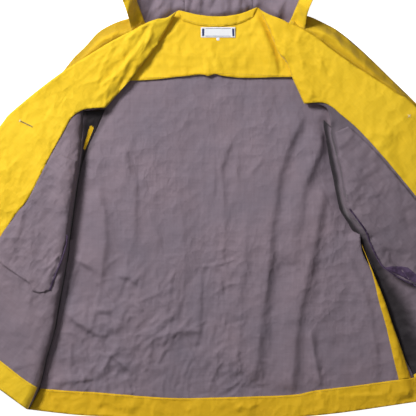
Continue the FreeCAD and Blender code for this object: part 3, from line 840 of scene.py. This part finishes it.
RIGHT_FACING_FOLDS = [
    ([(-92, 356), (-116, 318), (-148, 272), (-188, 232), (-212, 206)], 1.2, 8, 12, 0.12),
    ([(-122, 320), (-150, 284), (-166, 268), (-190, 228), (-214, 204)], 2.6, 4, 7, 0.15),
    ([(-112, 330), (-142, 290), (-176, 252)], 2.2, 4, 6, 0.15),
    ([(-130, 332), (-164, 292), (-196, 262), (-222, 226)], 1.8, 5, 9, 0.15),
    ([(-119, 327), (-118, 314), (-126, 302)], 2.2, 4, 5, 0.2),
    ([(-300, 186), (-280, 176), (-262, 178)], 2.4, 7, 10, 0.2),
    ([(-322, 160), (-306, 90)], 1.6, 6, 10, 0.2),
    ([(-345, 90), (-352, 40)], 1.8, 6, 8, 0.2),
    ([(-372, 120), (-366, 60)], 1.4, 6, 9, 0.2),
]
LEFT_FACING_FOLDS = [
    ([(86, 352), (100, 318), (112, 292), (128, 268)], 2.4, 5, 8, 0.15),
    ([(97, 300), (104, 276)], 2.4, 4, 6, 0.2),
    ([(106, 290), (119, 262)], 2.2, 4, 6, 0.2),
    ([(146, 250), (158, 224), (166, 206)], 2.0, 6, 9, 0.2),
    ([(256, 150), (286, 146), (306, 146)], 2.4, 6, 10, 0.2),
    ([(288, 118), (306, 90), (326, 66)], 2.4, 6, 9, 0.2),
    ([(190, 250), (214, 242)], 1.0, 6, 8, 0.2),
    ([(330, 186), (337, 172)], 1.2, 4, 6, 0.2),
]


RIGHT_FACING_WRINKLES = [
    (25, 110, (-215, 200, -90, 350), 52, 40, 2.4, 2.5, 16),
    (26, 170, (-560, -160, -200, 300), 75, 36, 1.3, 2.6, 35),
]
LEFT_FACING_WRINKLES = [
    (27, 80, (80, 200, 200, 350), 118, 28, 1.7, 2.4, 25),
    (28, 150, (150, -180, 600, 320), 120, 36, 1.2, 2.6, 40),
]


def right_facing_height(x, y):
    return facing_height(x, y, "right", 0.5, 24, 20.0, RIGHT_FACING_FOLDS, RIGHT_FACING_WRINKLES)


def left_facing_height(x, y):
    return facing_height(x, y, "left", 1.6, 20, 16.0, LEFT_FACING_FOLDS, LEFT_FACING_WRINKLES)


def right_bag_height(x, y):
    return right_height(x, y) + 1.3 + 1.2 * creases(x, y, 34, 47, 1.5, 70)


def left_bag_height(x, y):
    """Left pocket bag, which is the most rumpled piece, between its front and a soft top."""
    z = left_height(x, y) + 1.8 + 6.5 * facets(x, y, 38, 48, 1.6, 60) + 2.0 * facets(x, y, 16, 49, 1.4, 20)
    return np.maximum(limited(z, FRONT_TOP + 5.0), left_height(x, y) + 1.0)


def build_front(side, outlines, heights, lining, shell, crumple):
    """Panel, facing, turned hem and pocket bag of one front; crumple is the hem's seed and angle."""
    panel, facing, hem, bag = outlines
    height, over, bag_top = heights
    body, below = side + "_front", [side + "_front_panel"]
    cloth(side + "_front_panel_cloth", panel, height, [lining, shell], body=body)
    cloth(side + "_front_facing_cloth", facing, over, [shell], gauge=FACING_GAUGE, step=3.4, body=body)
    seed, degrees = crumple
    cloth(side + "_front_hem_facing_cloth", hem,
          lambda x, y: height(x, y) + 1.6 + 0.8 * creases(x, y, 18, seed, 2.0, degrees),
          [shell], step=3.0, body=body)
    cloth(side + "_pocket_bag_cloth", bag, bag_top, [lining], step=3.4, body=body)


def build_fronts():
    """Outlines of both fronts. Each piece's edges run round it in one direction."""
    hem = [[(-334, -335), (-383, -298), (-513, -205)],
           [(-489, -172), (-440, -207), (-383, -248), (-343, -279), (-317, -296)]]
    bag = [[(-289, 116), (-248, 100)],
           [(-248, 100), (-252, 60), (-258, 20), (-267, -40), (-275, -74), (-285, -98), (-295, -126)],
           [(-295, -126), (-311, -130), (-325, -128)], [(-325, -128), (-334, -112), (-369, -88), (-400, -62)],
           [(-400, -62), (-372, -18), (-337, 26), (-313, 72), (-289, 116)]]
    panel = [RIGHT_ROLL, RIGHT_LIP, RIGHT_INNER, RIGHT_EDGE, RIGHT_TOP]
    facing = [RIGHT_ROLL, RIGHT_FACING_EDGE, RIGHT_EDGE, RIGHT_TOP]
    build_front("right", (panel, facing, hem, bag), (right_height, right_facing_height, right_bag_height),
                MAUVE_RIGHT, YELLOW_RIGHT, (44, 125))
    hem = [[(420, -266), (465, -234), (527, -188)], [(503, -155), (450, -195), (402, -230)]]
    bag = [[(203, 150), (214, 86), (228, 16), (255, -21), (264, -44), (278, -73)],
           [(278, -73), (289, -87), (318, -106), (352, -122)], [(401, -40), (342, 34), (272, 117), (226, 160)]]
    panel = [LEFT_ROLL, LEFT_LIP, LEFT_INNER, LEFT_EDGE, LEFT_TOP]
    facing = [LEFT_ROLL, LEFT_FACING_EDGE, LEFT_EDGE, LEFT_TOP]
    build_front("left", (panel, facing, hem, bag), (left_height, left_facing_height, left_bag_height),
                MAUVE_LEFT, YELLOW_LEFT, (45, 55))


# ---------------------------------------------------------------- cloth that crosses a joint


def resampled(line, count):
    """The smooth curve through a line's points, as count points evenly along it."""
    fine = np.vstack([smooth_path(line, 2.0), line[-1:]])
    travelled = np.concatenate([[0], np.cumsum(np.linalg.norm(np.diff(fine, axis=0), axis=1))])
    places = np.linspace(0, travelled[-1], count)
    return np.column_stack([np.interp(places, travelled, fine[:, k]) for k in (0, 1)])


BRIDGE_ROWS = 20
VENT_HEIGHT = 3.9


def bridge(name, upper, upper_height, lower, lower_height, materials, seed, replaces=(), patches=(),
           bulge=0.0, hollow=1.0):
    """Strip of cloth from a front's boundary down to the back.

    bulge pushes the middle of the strip sideways, in millimetres, towards the lower line.
    patches are outlines whose cloth takes the second material.
    hollow under 1 makes the strip fall early and run low before it meets the back.
    """
    count = max(24, round(math.dist(upper[0], upper[-1]) / 2.5))
    top, low = resampled(upper, count), resampled(lower, count)
    top_z = upper_height(top[:, 0], top[:, 1]) - 0.4
    low_z = lower_height(low[:, 0], low[:, 1]) - 0.8
    toward = low - top
    toward /= np.maximum(np.linalg.norm(toward, axis=1), 4.0)[:, None]
    rows = []
    for t in np.arange(BRIDGE_ROWS + 1) / BRIDGE_ROWS:
        middle = math.sin(math.pi * t)
        plan = top * (1 - t) + low * t + toward * bulge * middle
        ripple = lattice(plan[:, 0], plan[:, 1], 17, seed) + 0.6 * lattice(plan[:, 0], plan[:, 1], 7, seed + 1)
        z = top_z + (low_z - top_z) * smooth(np.full(count, t)) ** hollow + 1.5 * middle * ripple
        rows.append(np.column_stack([plan, z]))
    verts = np.vstack(rows)
    faces = [(j * count + i, j * count + i + 1, (j + 1) * count + i + 1, (j + 1) * count + i)
             for j in range(BRIDGE_ROWS) for i in range(count - 1)]
    centres = np.array([verts[list(face), :2].mean(0) for face in faces])
    second = np.zeros(len(faces), bool)
    for patch in patches:
        second |= inside(centres, np.asarray(patch, float))
    piece = add_object(name, verts * MM, upward(verts, faces), materials, [int(value) for value in second])
    thicken(piece, CLOTH_GAUGE, offset=0.0, two_sided=True)
    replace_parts(piece, *replaces)
    apply_thickness(piece)
    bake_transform(piece)


def vent_height(x, _):
    """The side panels meet the back at one height all along."""
    return np.full(np.shape(x), VENT_HEIGHT)


def build_bridges():
    right_low = [(-200, 190), (-208, 172), (-216, 154), (-226, 134), (-234, 112)]
    right_low += [(x + 3, y) for x, y in RIGHT_INNER if y < 100]
    armhole = [(-226, 163), (-219, 158), (-224, 146), (-235, 119), (-238, 122), (-232, 144)]
    # Both side panels use grey with painted shade, nearly black low down in the gaps.
    bridge("right_side_panel_cloth", RIGHT_INNER, right_height, right_low, vent_height,
           [MAUVE_SIDE_RIGHT_SHADED, YELLOW_HEM_SHADED], 5, ["right_side_panel"], [armhole], bulge=-1.5, hollow=0.5)
    left_low = [(184, 172), (184, 150), (188, 125), (199, 77), (211, 18), (230, -16), (245, -52), (264, -100),
                (282, -143), (295, -182), (312, -229), (329, -281), (336, -321)]
    corner = [(336, -340), (336, -276), (372, -264), (425, -236), (425, -340)]
    bridge("left_side_panel_cloth", LEFT_INNER, left_height, left_low, vent_height,
           [MAUVE_SIDE_LEFT_SHADED, YELLOW_LEFT], 6, ["left_side_panel"], [corner], hollow=0.5)
    right_under = [(-90, 352), (-110, 322), (-126, 299), (-148, 272), (-170, 246), (-194, 220), (-213, 203)]
    bridge("right_front_roll_cloth", RIGHT_ROLL, right_facing_height, right_under, yoke_height,
           [YELLOW_RIGHT], 7)
    left_under = [(86, 357), (100, 334), (113, 300), (132, 275), (143, 248), (154, 222), (163, 204)]
    bridge("left_front_roll_cloth", LEFT_ROLL, left_facing_height, left_under, yoke_height,
           [YELLOW_LEFT], 8)


def shoulder_height(x, y, silhouette, front_edge, way, seed, degrees):
    """Rumpled shoulder: low at the seam on the silhouette, full towards the front, flat under it."""
    distance, _, _ = nearest(x, y, silhouette)
    rise = smooth(distance / 26)
    z = 8 + (SHOULDER_TOP - 12) * rise
    box = (x.min(), y.min(), x.max(), y.max())
    corner = np.hypot(x - silhouette[0][0], y - silhouette[0][1] + 10)
    z = np.maximum(z - 14 * np.exp(-((corner / 26) ** 2)), 6)
    z = z + (1.5 + 11.0 * rise) * facets(x, y, 24, seed, 2.4, degrees)
    z = z + wrinkles(x, y, seed, 70, box, degrees, 28, 3.4, 2.8, 22) - 1.0
    distance, side, _ = nearest(x, y, front_edge)
    ceiling = np.where(way * side > 0, 11.5 + 5 * np.exp(-distance / 7), 17 + 0.5 * distance)
    return np.minimum(z, ceiling)


RIGHT_SILHOUETTE = [(-150, 352), (-172, 346), (-191, 338), (-212, 325), (-233, 302), (-256, 279), (-278, 252),
                    (-337, 190)]
LEFT_SILHOUETTE = [(148, 356), (163, 352), (186, 341), (208, 329), (234, 307), (261, 284), (300, 246),
                   (336, 211), (364, 182)]


def build_shoulders():
    right = [RIGHT_SILHOUETTE, [(-309, 190), (-280, 194), (-252, 196)],
             [(-252, 196), (-214, 212), (-172, 250), (-128, 302), (-100, 345)], [(-131, 337), (-150, 352)]]
    left = [LEFT_SILHOUETTE, [(330, 184), (300, 194), (275, 198), (243, 189)],
            [(243, 189), (170, 208), (147, 252), (116, 302), (98, 348)], [(122, 339), (148, 356)]]
    for side, edges, *shape in (("right", right, RIGHT_SILHOUETTE, RIGHT_EDGE[::-1], 1, 81, 62),
                                ("left", left, LEFT_SILHOUETTE, LEFT_EDGE[::-1], -1, 83, -62)):
        cloth(side + "_front_shoulder_cloth", edges, lambda x, y: shoulder_height(x, y, *shape),
              [YELLOW_SHOULDER_SHADED], step=3.4)


# ---------------------------------------------------------------- sleeves

# pivot and direction of each sleeve
SLEEVES = {"right": ((-300.0, 107.0), 226.5), "left": ((301.0, 128.0), -44.3)}
HEAD, CUFF_START, CUFF_END, CUFF_HALF = 83.0, 393.0, 433.0, 65.0  # head radius, places and half width


def sleeve_local(x, y, side):
    """Plan point in the sleeve's own axes: u runs along it from the pivot, v across it."""
    (px, py), angle = SLEEVES[side]
    return turned(x - px, y - py, angle)


def sleeve_world(points, side):
    """The way back from a sleeve's own axes to the frame's."""
    (px, py), angle = SLEEVES[side]
    c, s = math.cos(math.radians(angle)), math.sin(math.radians(angle))
    return [(px + c * u - s * v, py + s * u + c * v) for u, v in points]


def half_width(u):
    """Half the sleeve's width at a place along it, round at the head and tapering to the cuff."""
    return np.where(u < 0, np.sqrt(np.maximum(HEAD**2 - u**2, 1.0)),
                    HEAD + (CUFF_HALF - HEAD) * np.clip(u / CUFF_START, 0, 1.1))


def sleeve_height(x, y, side, upper, seed):
    """Flattened tube with cross folds at the elbow and creases along its length."""
    u, v = sleeve_local(x, y, side)
    radius = np.hypot(np.minimum(u, 0), v)
    share = np.where(u < 0, radius / HEAD, np.abs(v) / half_width(u))
    puff = np.sqrt(np.maximum(1 - np.clip(share, 0, 1) ** 4, 0))
    middle = SLEEVE_TOP / 2
    sink = np.where(u < 20, smooth((HEAD - 22 - np.hypot(np.minimum(u, 0), v * (u < 0))) / 40), 1.0)
    distance, way, _ = nearest(x, y, BACK_VALLEY if side == "right" else BACK_VALLEY_LEFT)
    way = way if side == "right" else -way
    roof = np.where(way > 0, 0.9, 0.9 + 0.6 * np.maximum(distance - 8, 0))
    if not upper:
        z = np.maximum(middle - (middle - 1.5) * puff, 1.0) * sink + 0.8 * (1 - sink)
        return np.minimum(z, roof)
    rumple = facets(u, v, 34, seed, 1.8, 75) * 5.0
    rumple = rumple + wrinkles(u, v, seed, 60, (-20, -80, 400, 80), 70, 34, 1.6, 3.0, 25)
    z = middle + (middle - 5.0) * puff + rumple * puff - 1.5
    return np.minimum(1.6 + (z - 1.6) * sink, roof + 0.4)


def build_sleeves():
    slant = HEAD * 0.7071
    head = [(0, HEAD), (-slant, slant), (-HEAD, 0), (-slant, -slant), (0, -HEAD)]
    wrist = [(CUFF_START, -CUFF_HALF), (CUFF_START, CUFF_HALF)]
    for seed, side in ((90, "right"), (91, "left")):
        edges = [sleeve_world(edge, side) for edge in (head, wrist)]
        for half, materials in (("under", [MAUVE, YELLOW]), ("upper", [YELLOW, MAUVE])):
            cloth("%s_sleeve_%s_cloth" % (side, half), edges,
                  lambda x, y: sleeve_height(x, y, side, half == "upper", seed), materials, step=5.0,
                  body=side + "_sleeve")
        build_cuff(side)


def build_cuff(side):
    """Turned hem of the sleeve: a flattened ring with a rolled end."""
    rings, around = 10, 96
    verts = []
    for i in range(rings + 1):
        u = CUFF_START - 2 + (CUFF_END - CUFF_START + 2) * i / rings
        swell = 1.0 + 0.6 * math.sin(math.pi * i / rings) - 0.8 * (i == rings)
        for k in range(around):
            angle = 2 * math.pi * k / around
            c, s = math.cos(angle), math.sin(angle)
            v = (CUFF_HALF - 0.5) * math.copysign(abs(c) ** 0.75, c)
            w = SLEEVE_TOP / 2 + (SLEEVE_TOP / 2 - 3.0) * math.copysign(abs(s) ** 0.7, s) * (1 + 0.06 * swell)
            w += 0.7 * math.sin(5 * angle + 0.6 * i) * abs(s)
            (x, y), = sleeve_world([(u, v)], side)
            verts.append((x * MM, y * MM, max(w, 1.2) * MM))
    faces = [(i * around + k, i * around + (k + 1) % around, (i + 1) * around + (k + 1) % around,
              (i + 1) * around + k) for i in range(rings) for k in range(around)]
    piece = add_object(side + "_cuff_hem_cloth", verts, faces, [YELLOW, MAUVE])
    thicken(piece, 1.4, offset=0.0, two_sided=True)
    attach(piece, side + "_sleeve")
    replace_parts(piece, side + "_cuff_hem")


# ---------------------------------------------------------------- hood

HOOD_RIGHT_RIM = [(-152, 326), (-158, 352), (-166, 376), (-176, 404), (-185, 440), (-186, 480), (-178, 540),
                  (-157, 600), (-118, 650), (-60, 680)]
HOOD_LEFT_RIM = [(60, 680), (118, 650), (157, 600), (178, 540), (186, 480), (184, 440), (174, 404), (162, 378),
                 (154, 356), (150, 326)]
HOOD_RIM = HOOD_RIGHT_RIM + [(0, 688)] + HOOD_LEFT_RIM
HOOD_NECK = [(-154, 322), (-122, 330), (-111, 339), (-91, 345), (-70, 357), (-30, 348.5), (0, 346), (30, 350),
             (60, 360), (70, 362), (91, 349), (118, 336), (150, 322)]
BRIM_WIDTH, WALL_WIDTH = 22.0, 62


def hood_height(x, y):
    """Shallow bowl with gathers that run up from the neck seam."""
    distance, _, _ = nearest(x, y, HOOD_RIM)
    wall = (1 - np.clip(distance / WALL_WIDTH, 0, 1)) ** 2
    z = 3.5 + (HOOD_TOP - 9.0) * wall
    neck = np.exp(-(((y - 352) / 48.0) ** 2))
    z = z + 18.0 * neck * facets(x, y, 21, 35, 3.0, 80) + 3.0 * neck
    distance, _, _ = nearest(x, y, HOOD_NECK)
    ends = smooth((np.abs(x) - 100) / 22)
    tuck = ends * (0.22 + 0.78 * smooth(distance / 60)) + (1 - ends) * smooth(distance / 15)
    return np.maximum((z + 3.5 * facets(x, y, 60, 33, 1.6, 40) * (1 - wall)) * tuck, 1.5)


def brim_height(x, y):
    """Facing inside the hood's edge, one layer above the hood."""
    return hood_height(x, y) + 1.8 + 0.8 * creases(x, y, 22, 36, 1.5, 90)


def build_hood():
    right_seam, left_seam = [(-60, 680), (-60, 356)], [(60, 360), (60, 680)]
    right = [HOOD_RIGHT_RIM, right_seam, [(-60, 356), (-70, 357), (-91, 345), (-111, 339), (-122, 334)]]
    centre = [[(-60, 356), (-30, 348.5), (0, 346), (30, 350), (60, 360)], left_seam,
              [(60, 680), (0, 688), (-60, 680)], right_seam]
    left = [HOOD_LEFT_RIM, [(115, 338), (102, 343), (91, 347), (70, 362), (60, 360)], left_seam]
    for node, edges in (("hood_right_side", right), ("hood_centre", centre), ("hood_left_side", left)):
        bend_hood(cloth(node + "_cloth", edges, hood_height, [MAUVE, YELLOW], step=4.5,
                        body=None))
    inner = [(118, 337), (126, 348), (141, 384), (153, 410), (163, 440), (165, 480), (158, 536), (139, 590),
             (106, 632), (56, 658), (0, 667), (-56, 658), (-106, 632), (-139, 590), (-158, 536), (-165, 480),
             (-164, 440), (-156, 410), (-145, 384), (-130, 344), (-125, 333)]
    bend_hood(cloth("hood_brim_facing_cloth", [HOOD_RIM, inner], brim_height, [YELLOW], gauge=FACING_GAUGE,
                    step=3.4, body=None,
                    band_width=BRIM_WIDTH))


def bend_hood(piece):
    """Turns a hood piece's thickness into real faces and bakes its placement; the hood's neck seam lies on the
    back.
    """
    apply_thickness(piece)
    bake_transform(piece)


# ---------------------------------------------------------------- trims


def band(name, points, width, thickness, material, body):
    """Flat band of thread that follows points in millimetres."""
    p = np.asarray(points, float)
    along = np.gradient(p[:, :2], axis=0)
    along /= np.maximum(np.linalg.norm(along, axis=1), 1e-6)[:, None]
    normal = np.column_stack([-along[:, 1], along[:, 0]])
    ring = [(0.5, 0.0), (0.3, 0.8), (-0.3, 0.8), (-0.5, 0.0)]
    verts = []
    for (x, y, z), (nx, ny) in zip(p, normal):
        for a, b in ring:
            verts.append(((x + nx * width * a) * MM, (y + ny * width * a) * MM, (z + thickness * b) * MM))
    n = len(ring)
    faces = [(i * n + k, i * n + (k + 1) % n, (i + 1) * n + (k + 1) % n, (i + 1) * n + k)
             for i in range(len(p) - 1) for k in range(n)]
    faces += [tuple(range(n))[::-1], tuple((len(p) - 1) * n + k for k in range(n))]
    piece = add_object(name, verts, faces, [material])
    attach(piece, body)
    return piece


def lifted(line, height, gap, step):
    """Points in millimetres along a line on a surface, a small gap above it."""
    plan = np.vstack([smooth_path(line, step), line[-1:]])
    z = height(plan[:, 0], plan[:, 1]) + gap
    return np.column_stack([plan, z])


def stitch_row(name, line, height, body, material=THREAD, length=3.0, pitch=4.2, width=0.55):
    """Separate stitches along a line on a surface, as one piece."""
    bulge, gauge, taper = 0.3, 0.22, 0.6
    fine = lifted(line, height, 0.25, 1.0)
    travelled = np.concatenate([[0], np.cumsum(np.linalg.norm(np.diff(fine[:, :2], axis=0), axis=1))])
    verts, faces = [], []
    for start in np.arange(0, travelled[-1] - length, pitch):
        a, m, b = (np.array([np.interp(start + s, travelled, fine[:, k]) for k in range(3)])
                   for s in (0, length / 2, length))
        d = (b - a)[:2] / max(np.linalg.norm((b - a)[:2]), 1e-6)
        side = np.array([-d[1], d[0], 0]) * width / 2
        m = m + np.array([0, 0, bulge])
        base = len(verts)
        for point in (a, m, b):
            verts += [point - side, point + side]
            verts += [point + way * side * taper + [0, 0, gauge] for way in (-1, 1)]
        for k in (0, 4):
            q = base + k
            faces += [(q + 2, q + 3, q + 7, q + 6), (q, q + 2, q + 6, q + 4), (q + 3, q + 1, q + 5, q + 7),
                      (q + 1, q, q + 4, q + 5)]
        faces += [(base, base + 1, base + 3, base + 2), (base + 9, base + 8, base + 10, base + 11)]
    piece = add_object(name, [np.asarray(v) * MM for v in verts], faces, [material])
    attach(piece, body)


def beside(line, distance):
    """A line moved sideways by a distance, to its left when positive."""
    p = np.asarray(line, float)
    d = np.gradient(p, axis=0)
    d /= np.linalg.norm(d, axis=1)[:, None]
    return [tuple(q) for q in p + np.column_stack([-d[:, 1], d[:, 0]]) * distance]


def build_topstitching():
    stitch_row("right_front_edge_stitching", beside(RIGHT_EDGE, 4), right_facing_height, "right_front")
    stitch_row("left_front_edge_stitching", beside(LEFT_EDGE, -4), left_facing_height, "left_front")
    hem = [(-310, -303), (-210, -309.5), (-114, -317.5), (-16, -318.5), (132, -313.5), (172, -305.5),
           (312, -287)]
    stitch_row("back_hem_stitching", hem, hem_height, "root")
    low = [(-150, 245), (-84, 247), (0, 253), (46, 252), (130, 248.5)]
    stitch_row("yoke_edge_stitching", low, yoke_height, "root")
    stitch_row("collar_seam_stitching", [(-62, 349), (-36, 341.5), (1, 339), (36, 344.5), (58, 354)],
               stand_height, "root")
    stitch_row("right_hem_stitching", [(-487, -175), (-440, -209.5), (-383, -251), (-343, -282), (-321, -297)],
               lambda x, y: right_height(x, y) + 2.4, "right_front")
    stitch_row("left_hem_stitching", [(502, -158), (450, -198), (404, -232)],
               lambda x, y: left_height(x, y) + 2.4, "left_front")


def overlock(name, line, height, body):
    """Purple overlocked edge: a padded band with slanting thread over it."""
    points = lifted(line, height, 0.8, 3.0)
    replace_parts(band(name, points, 2.6, 0.9, BINDING, body), name.removesuffix("_cloth"))
    stitch_row(name + "_thread", line, lambda x, y: height(x, y) + 1.3, body, BINDING, 1.2, 2.2, 3.0)


def build_bindings():
    right = [(-265, -30), (-267, -48), (-275, -74), (-285, -98), (-295, -126)]
    overlock("right_pocket_binding_cloth", right, lambda x, y: right_height(x, y) + 1.6, "right_front")
    left = [(228, 16), (255, -21), (264, -44), (278, -73), (289, -87), (318, -106), (352, -122)]
    overlock("left_pocket_binding_cloth", left, left_bag_height, "left_front")


def build_pocket_fold():
    """The left pocket's overlocked seam allowance, turned up into a small triangle."""
    edges = [[(285, -87), (306, -84), (329, -86)], [(329, -86), (345, -99)], [(345, -99), (352, -122)],
             [(352, -122), (324, -104), (285, -87)]]
    cloth("left_pocket_binding_fold_cloth", edges, lambda x, y: left_bag_height(x, y) + 1.4, [BINDING],
          step=2.4, body="left_front", stands_in=False)


BUTTONHOLE, BUTTONHOLE_STEP, BUTTONHOLE_ANGLE = (-336.5, 164.5), (-96.0, -128.0), -25.5
BUTTON, BUTTON_STEP = (332, 178), (105.4, -120.4)


def build_closure():
    """Buttonholes with their bar tacks, thread crosses, and horn buttons from the frame."""
    angle = math.radians(BUTTONHOLE_ANGLE)
    c, s = math.cos(angle), math.sin(angle)
    for index in range(3):
        x, y = (start + step * index for start, step in zip(BUTTONHOLE, BUTTONHOLE_STEP))
        for lip, material, width in ((-1, THREAD, 1.1), (0, BINDING, 0.9), (1, THREAD, 1.1)):
            line = [(x + c * u - s * lip, y + s * u + c * lip) for u in (-11, -4, 4, 11)]
            edge = band("buttonhole_%d_edge_%d" % (index, lip + 1),
                        lifted(line, right_facing_height, 0.1, 2.0), width, 0.7 - 0.3 * (lip == 0),
                        material, "right_front")
            if index == 0 and lip == 1:
                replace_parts(edge, "buttonhole_stitching")
        for number, end, material in ((0, -12, PALE_THREAD), (1, 12, THREAD)):
            line = [(x + c * end - s * u, y + s * end + c * u) for u in (-1.8, 0, 1.8)]
            band("buttonhole_%d_tack_%d" % (index, number), lifted(line, right_facing_height, 0.2, 1.5), 1.8,
                 0.9, material, "right_front")
        x, y = (start + step * index for start, step in zip(BUTTON, BUTTON_STEP))
        for number, slant in enumerate((-1, 1)):
            line = [(x + u, y + slant * u) for u in (-2.6, 0, 2.6)]
            cross = band("button_thread_%d_%d" % (index, number), lifted(line, left_facing_height, 0.2, 1.2),
                         0.9, 0.8, PALE_THREAD, "left_front")
            if index == 0 and number == 1:
                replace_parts(cross, "button_thread")
    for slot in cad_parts["front_buttons"].material_slots:
        slot.material = HORN


# ---------------------------------------------------------------- stage, camera and light


FLOOR_SIZE, FLOOR_DROP = 12, 0.0005


def build_stage():
    """Pale floor that the camera sees as nearly white, while it lights the jacket only by reflection."""
    bpy.ops.mesh.primitive_plane_add(size=FLOOR_SIZE, location=(0, 0, -FLOOR_DROP))
    floor = bpy.context.object
    floor.name = "floor"
    n = Nodes("pale_floor")
    n.shader.inputs["Base Color"].default_value = (0.9, 0.9, 0.9, 1)
    n.shader.inputs["Roughness"].default_value = 0.9
    n.shader.inputs["Emission Color"].default_value = (1, 1, 1, 1)
    seen = n.add("ShaderNodeLightPath")
    glow = n.math("MULTIPLY", (seen, "Is Camera Ray"), 0.95)
    n.link(glow, "Value", n.shader, "Emission Strength")
    floor.data.materials.append(n.material)


def area_light(name, place, size, power):
    """Square light that points at the frame's origin."""
    data = bpy.data.lights.new(name, "AREA")
    data.energy = power
    data.size = size
    lamp = bpy.data.objects.new(name, data)
    lamp.location = place
    lamp.rotation_euler = (-Vector(place)).to_track_quat("-Z", "Y").to_euler()
    bpy.context.scene.collection.objects.link(lamp)


def build_camera_and_light():
    view_width, distance, sensor, aim = 0.728, 6.0, 36.0, (-0.019, 0.0175, 0.02)
    data = bpy.data.cameras.new("camera")
    data.sensor_width = sensor
    data.lens = sensor * distance / view_width
    data.clip_end = 50
    camera = bpy.data.objects.new("camera", data)
    camera.location = (aim[0], aim[1], distance + aim[2])
    bpy.context.scene.collection.objects.link(camera)
    bpy.context.scene.camera = camera
    area_light("key", (-1.1, 1.12, 1.5), size=0.55, power=47)
    area_light("fill", (-0.3, 0.5, 3.2), size=2.2, power=12)
    world = bpy.data.worlds.new("studio")
    world.use_nodes = True
    background = world.node_tree.nodes["Background"]
    background.inputs["Color"].default_value = (1, 1, 1, 1)
    background.inputs["Strength"].default_value = 0.14
    bpy.context.scene.world = world
    bpy.context.scene.view_settings.view_transform = "Standard"


build_camera_and_light()
build_stage()
build_back()
build_yoke()
build_collar()
build_label()
build_back_hem()
build_side_strips()
build_fronts()
build_bridges()
build_shoulders()
build_sleeves()
build_hood()
build_topstitching()
build_bindings()
build_pocket_fold()
build_closure()
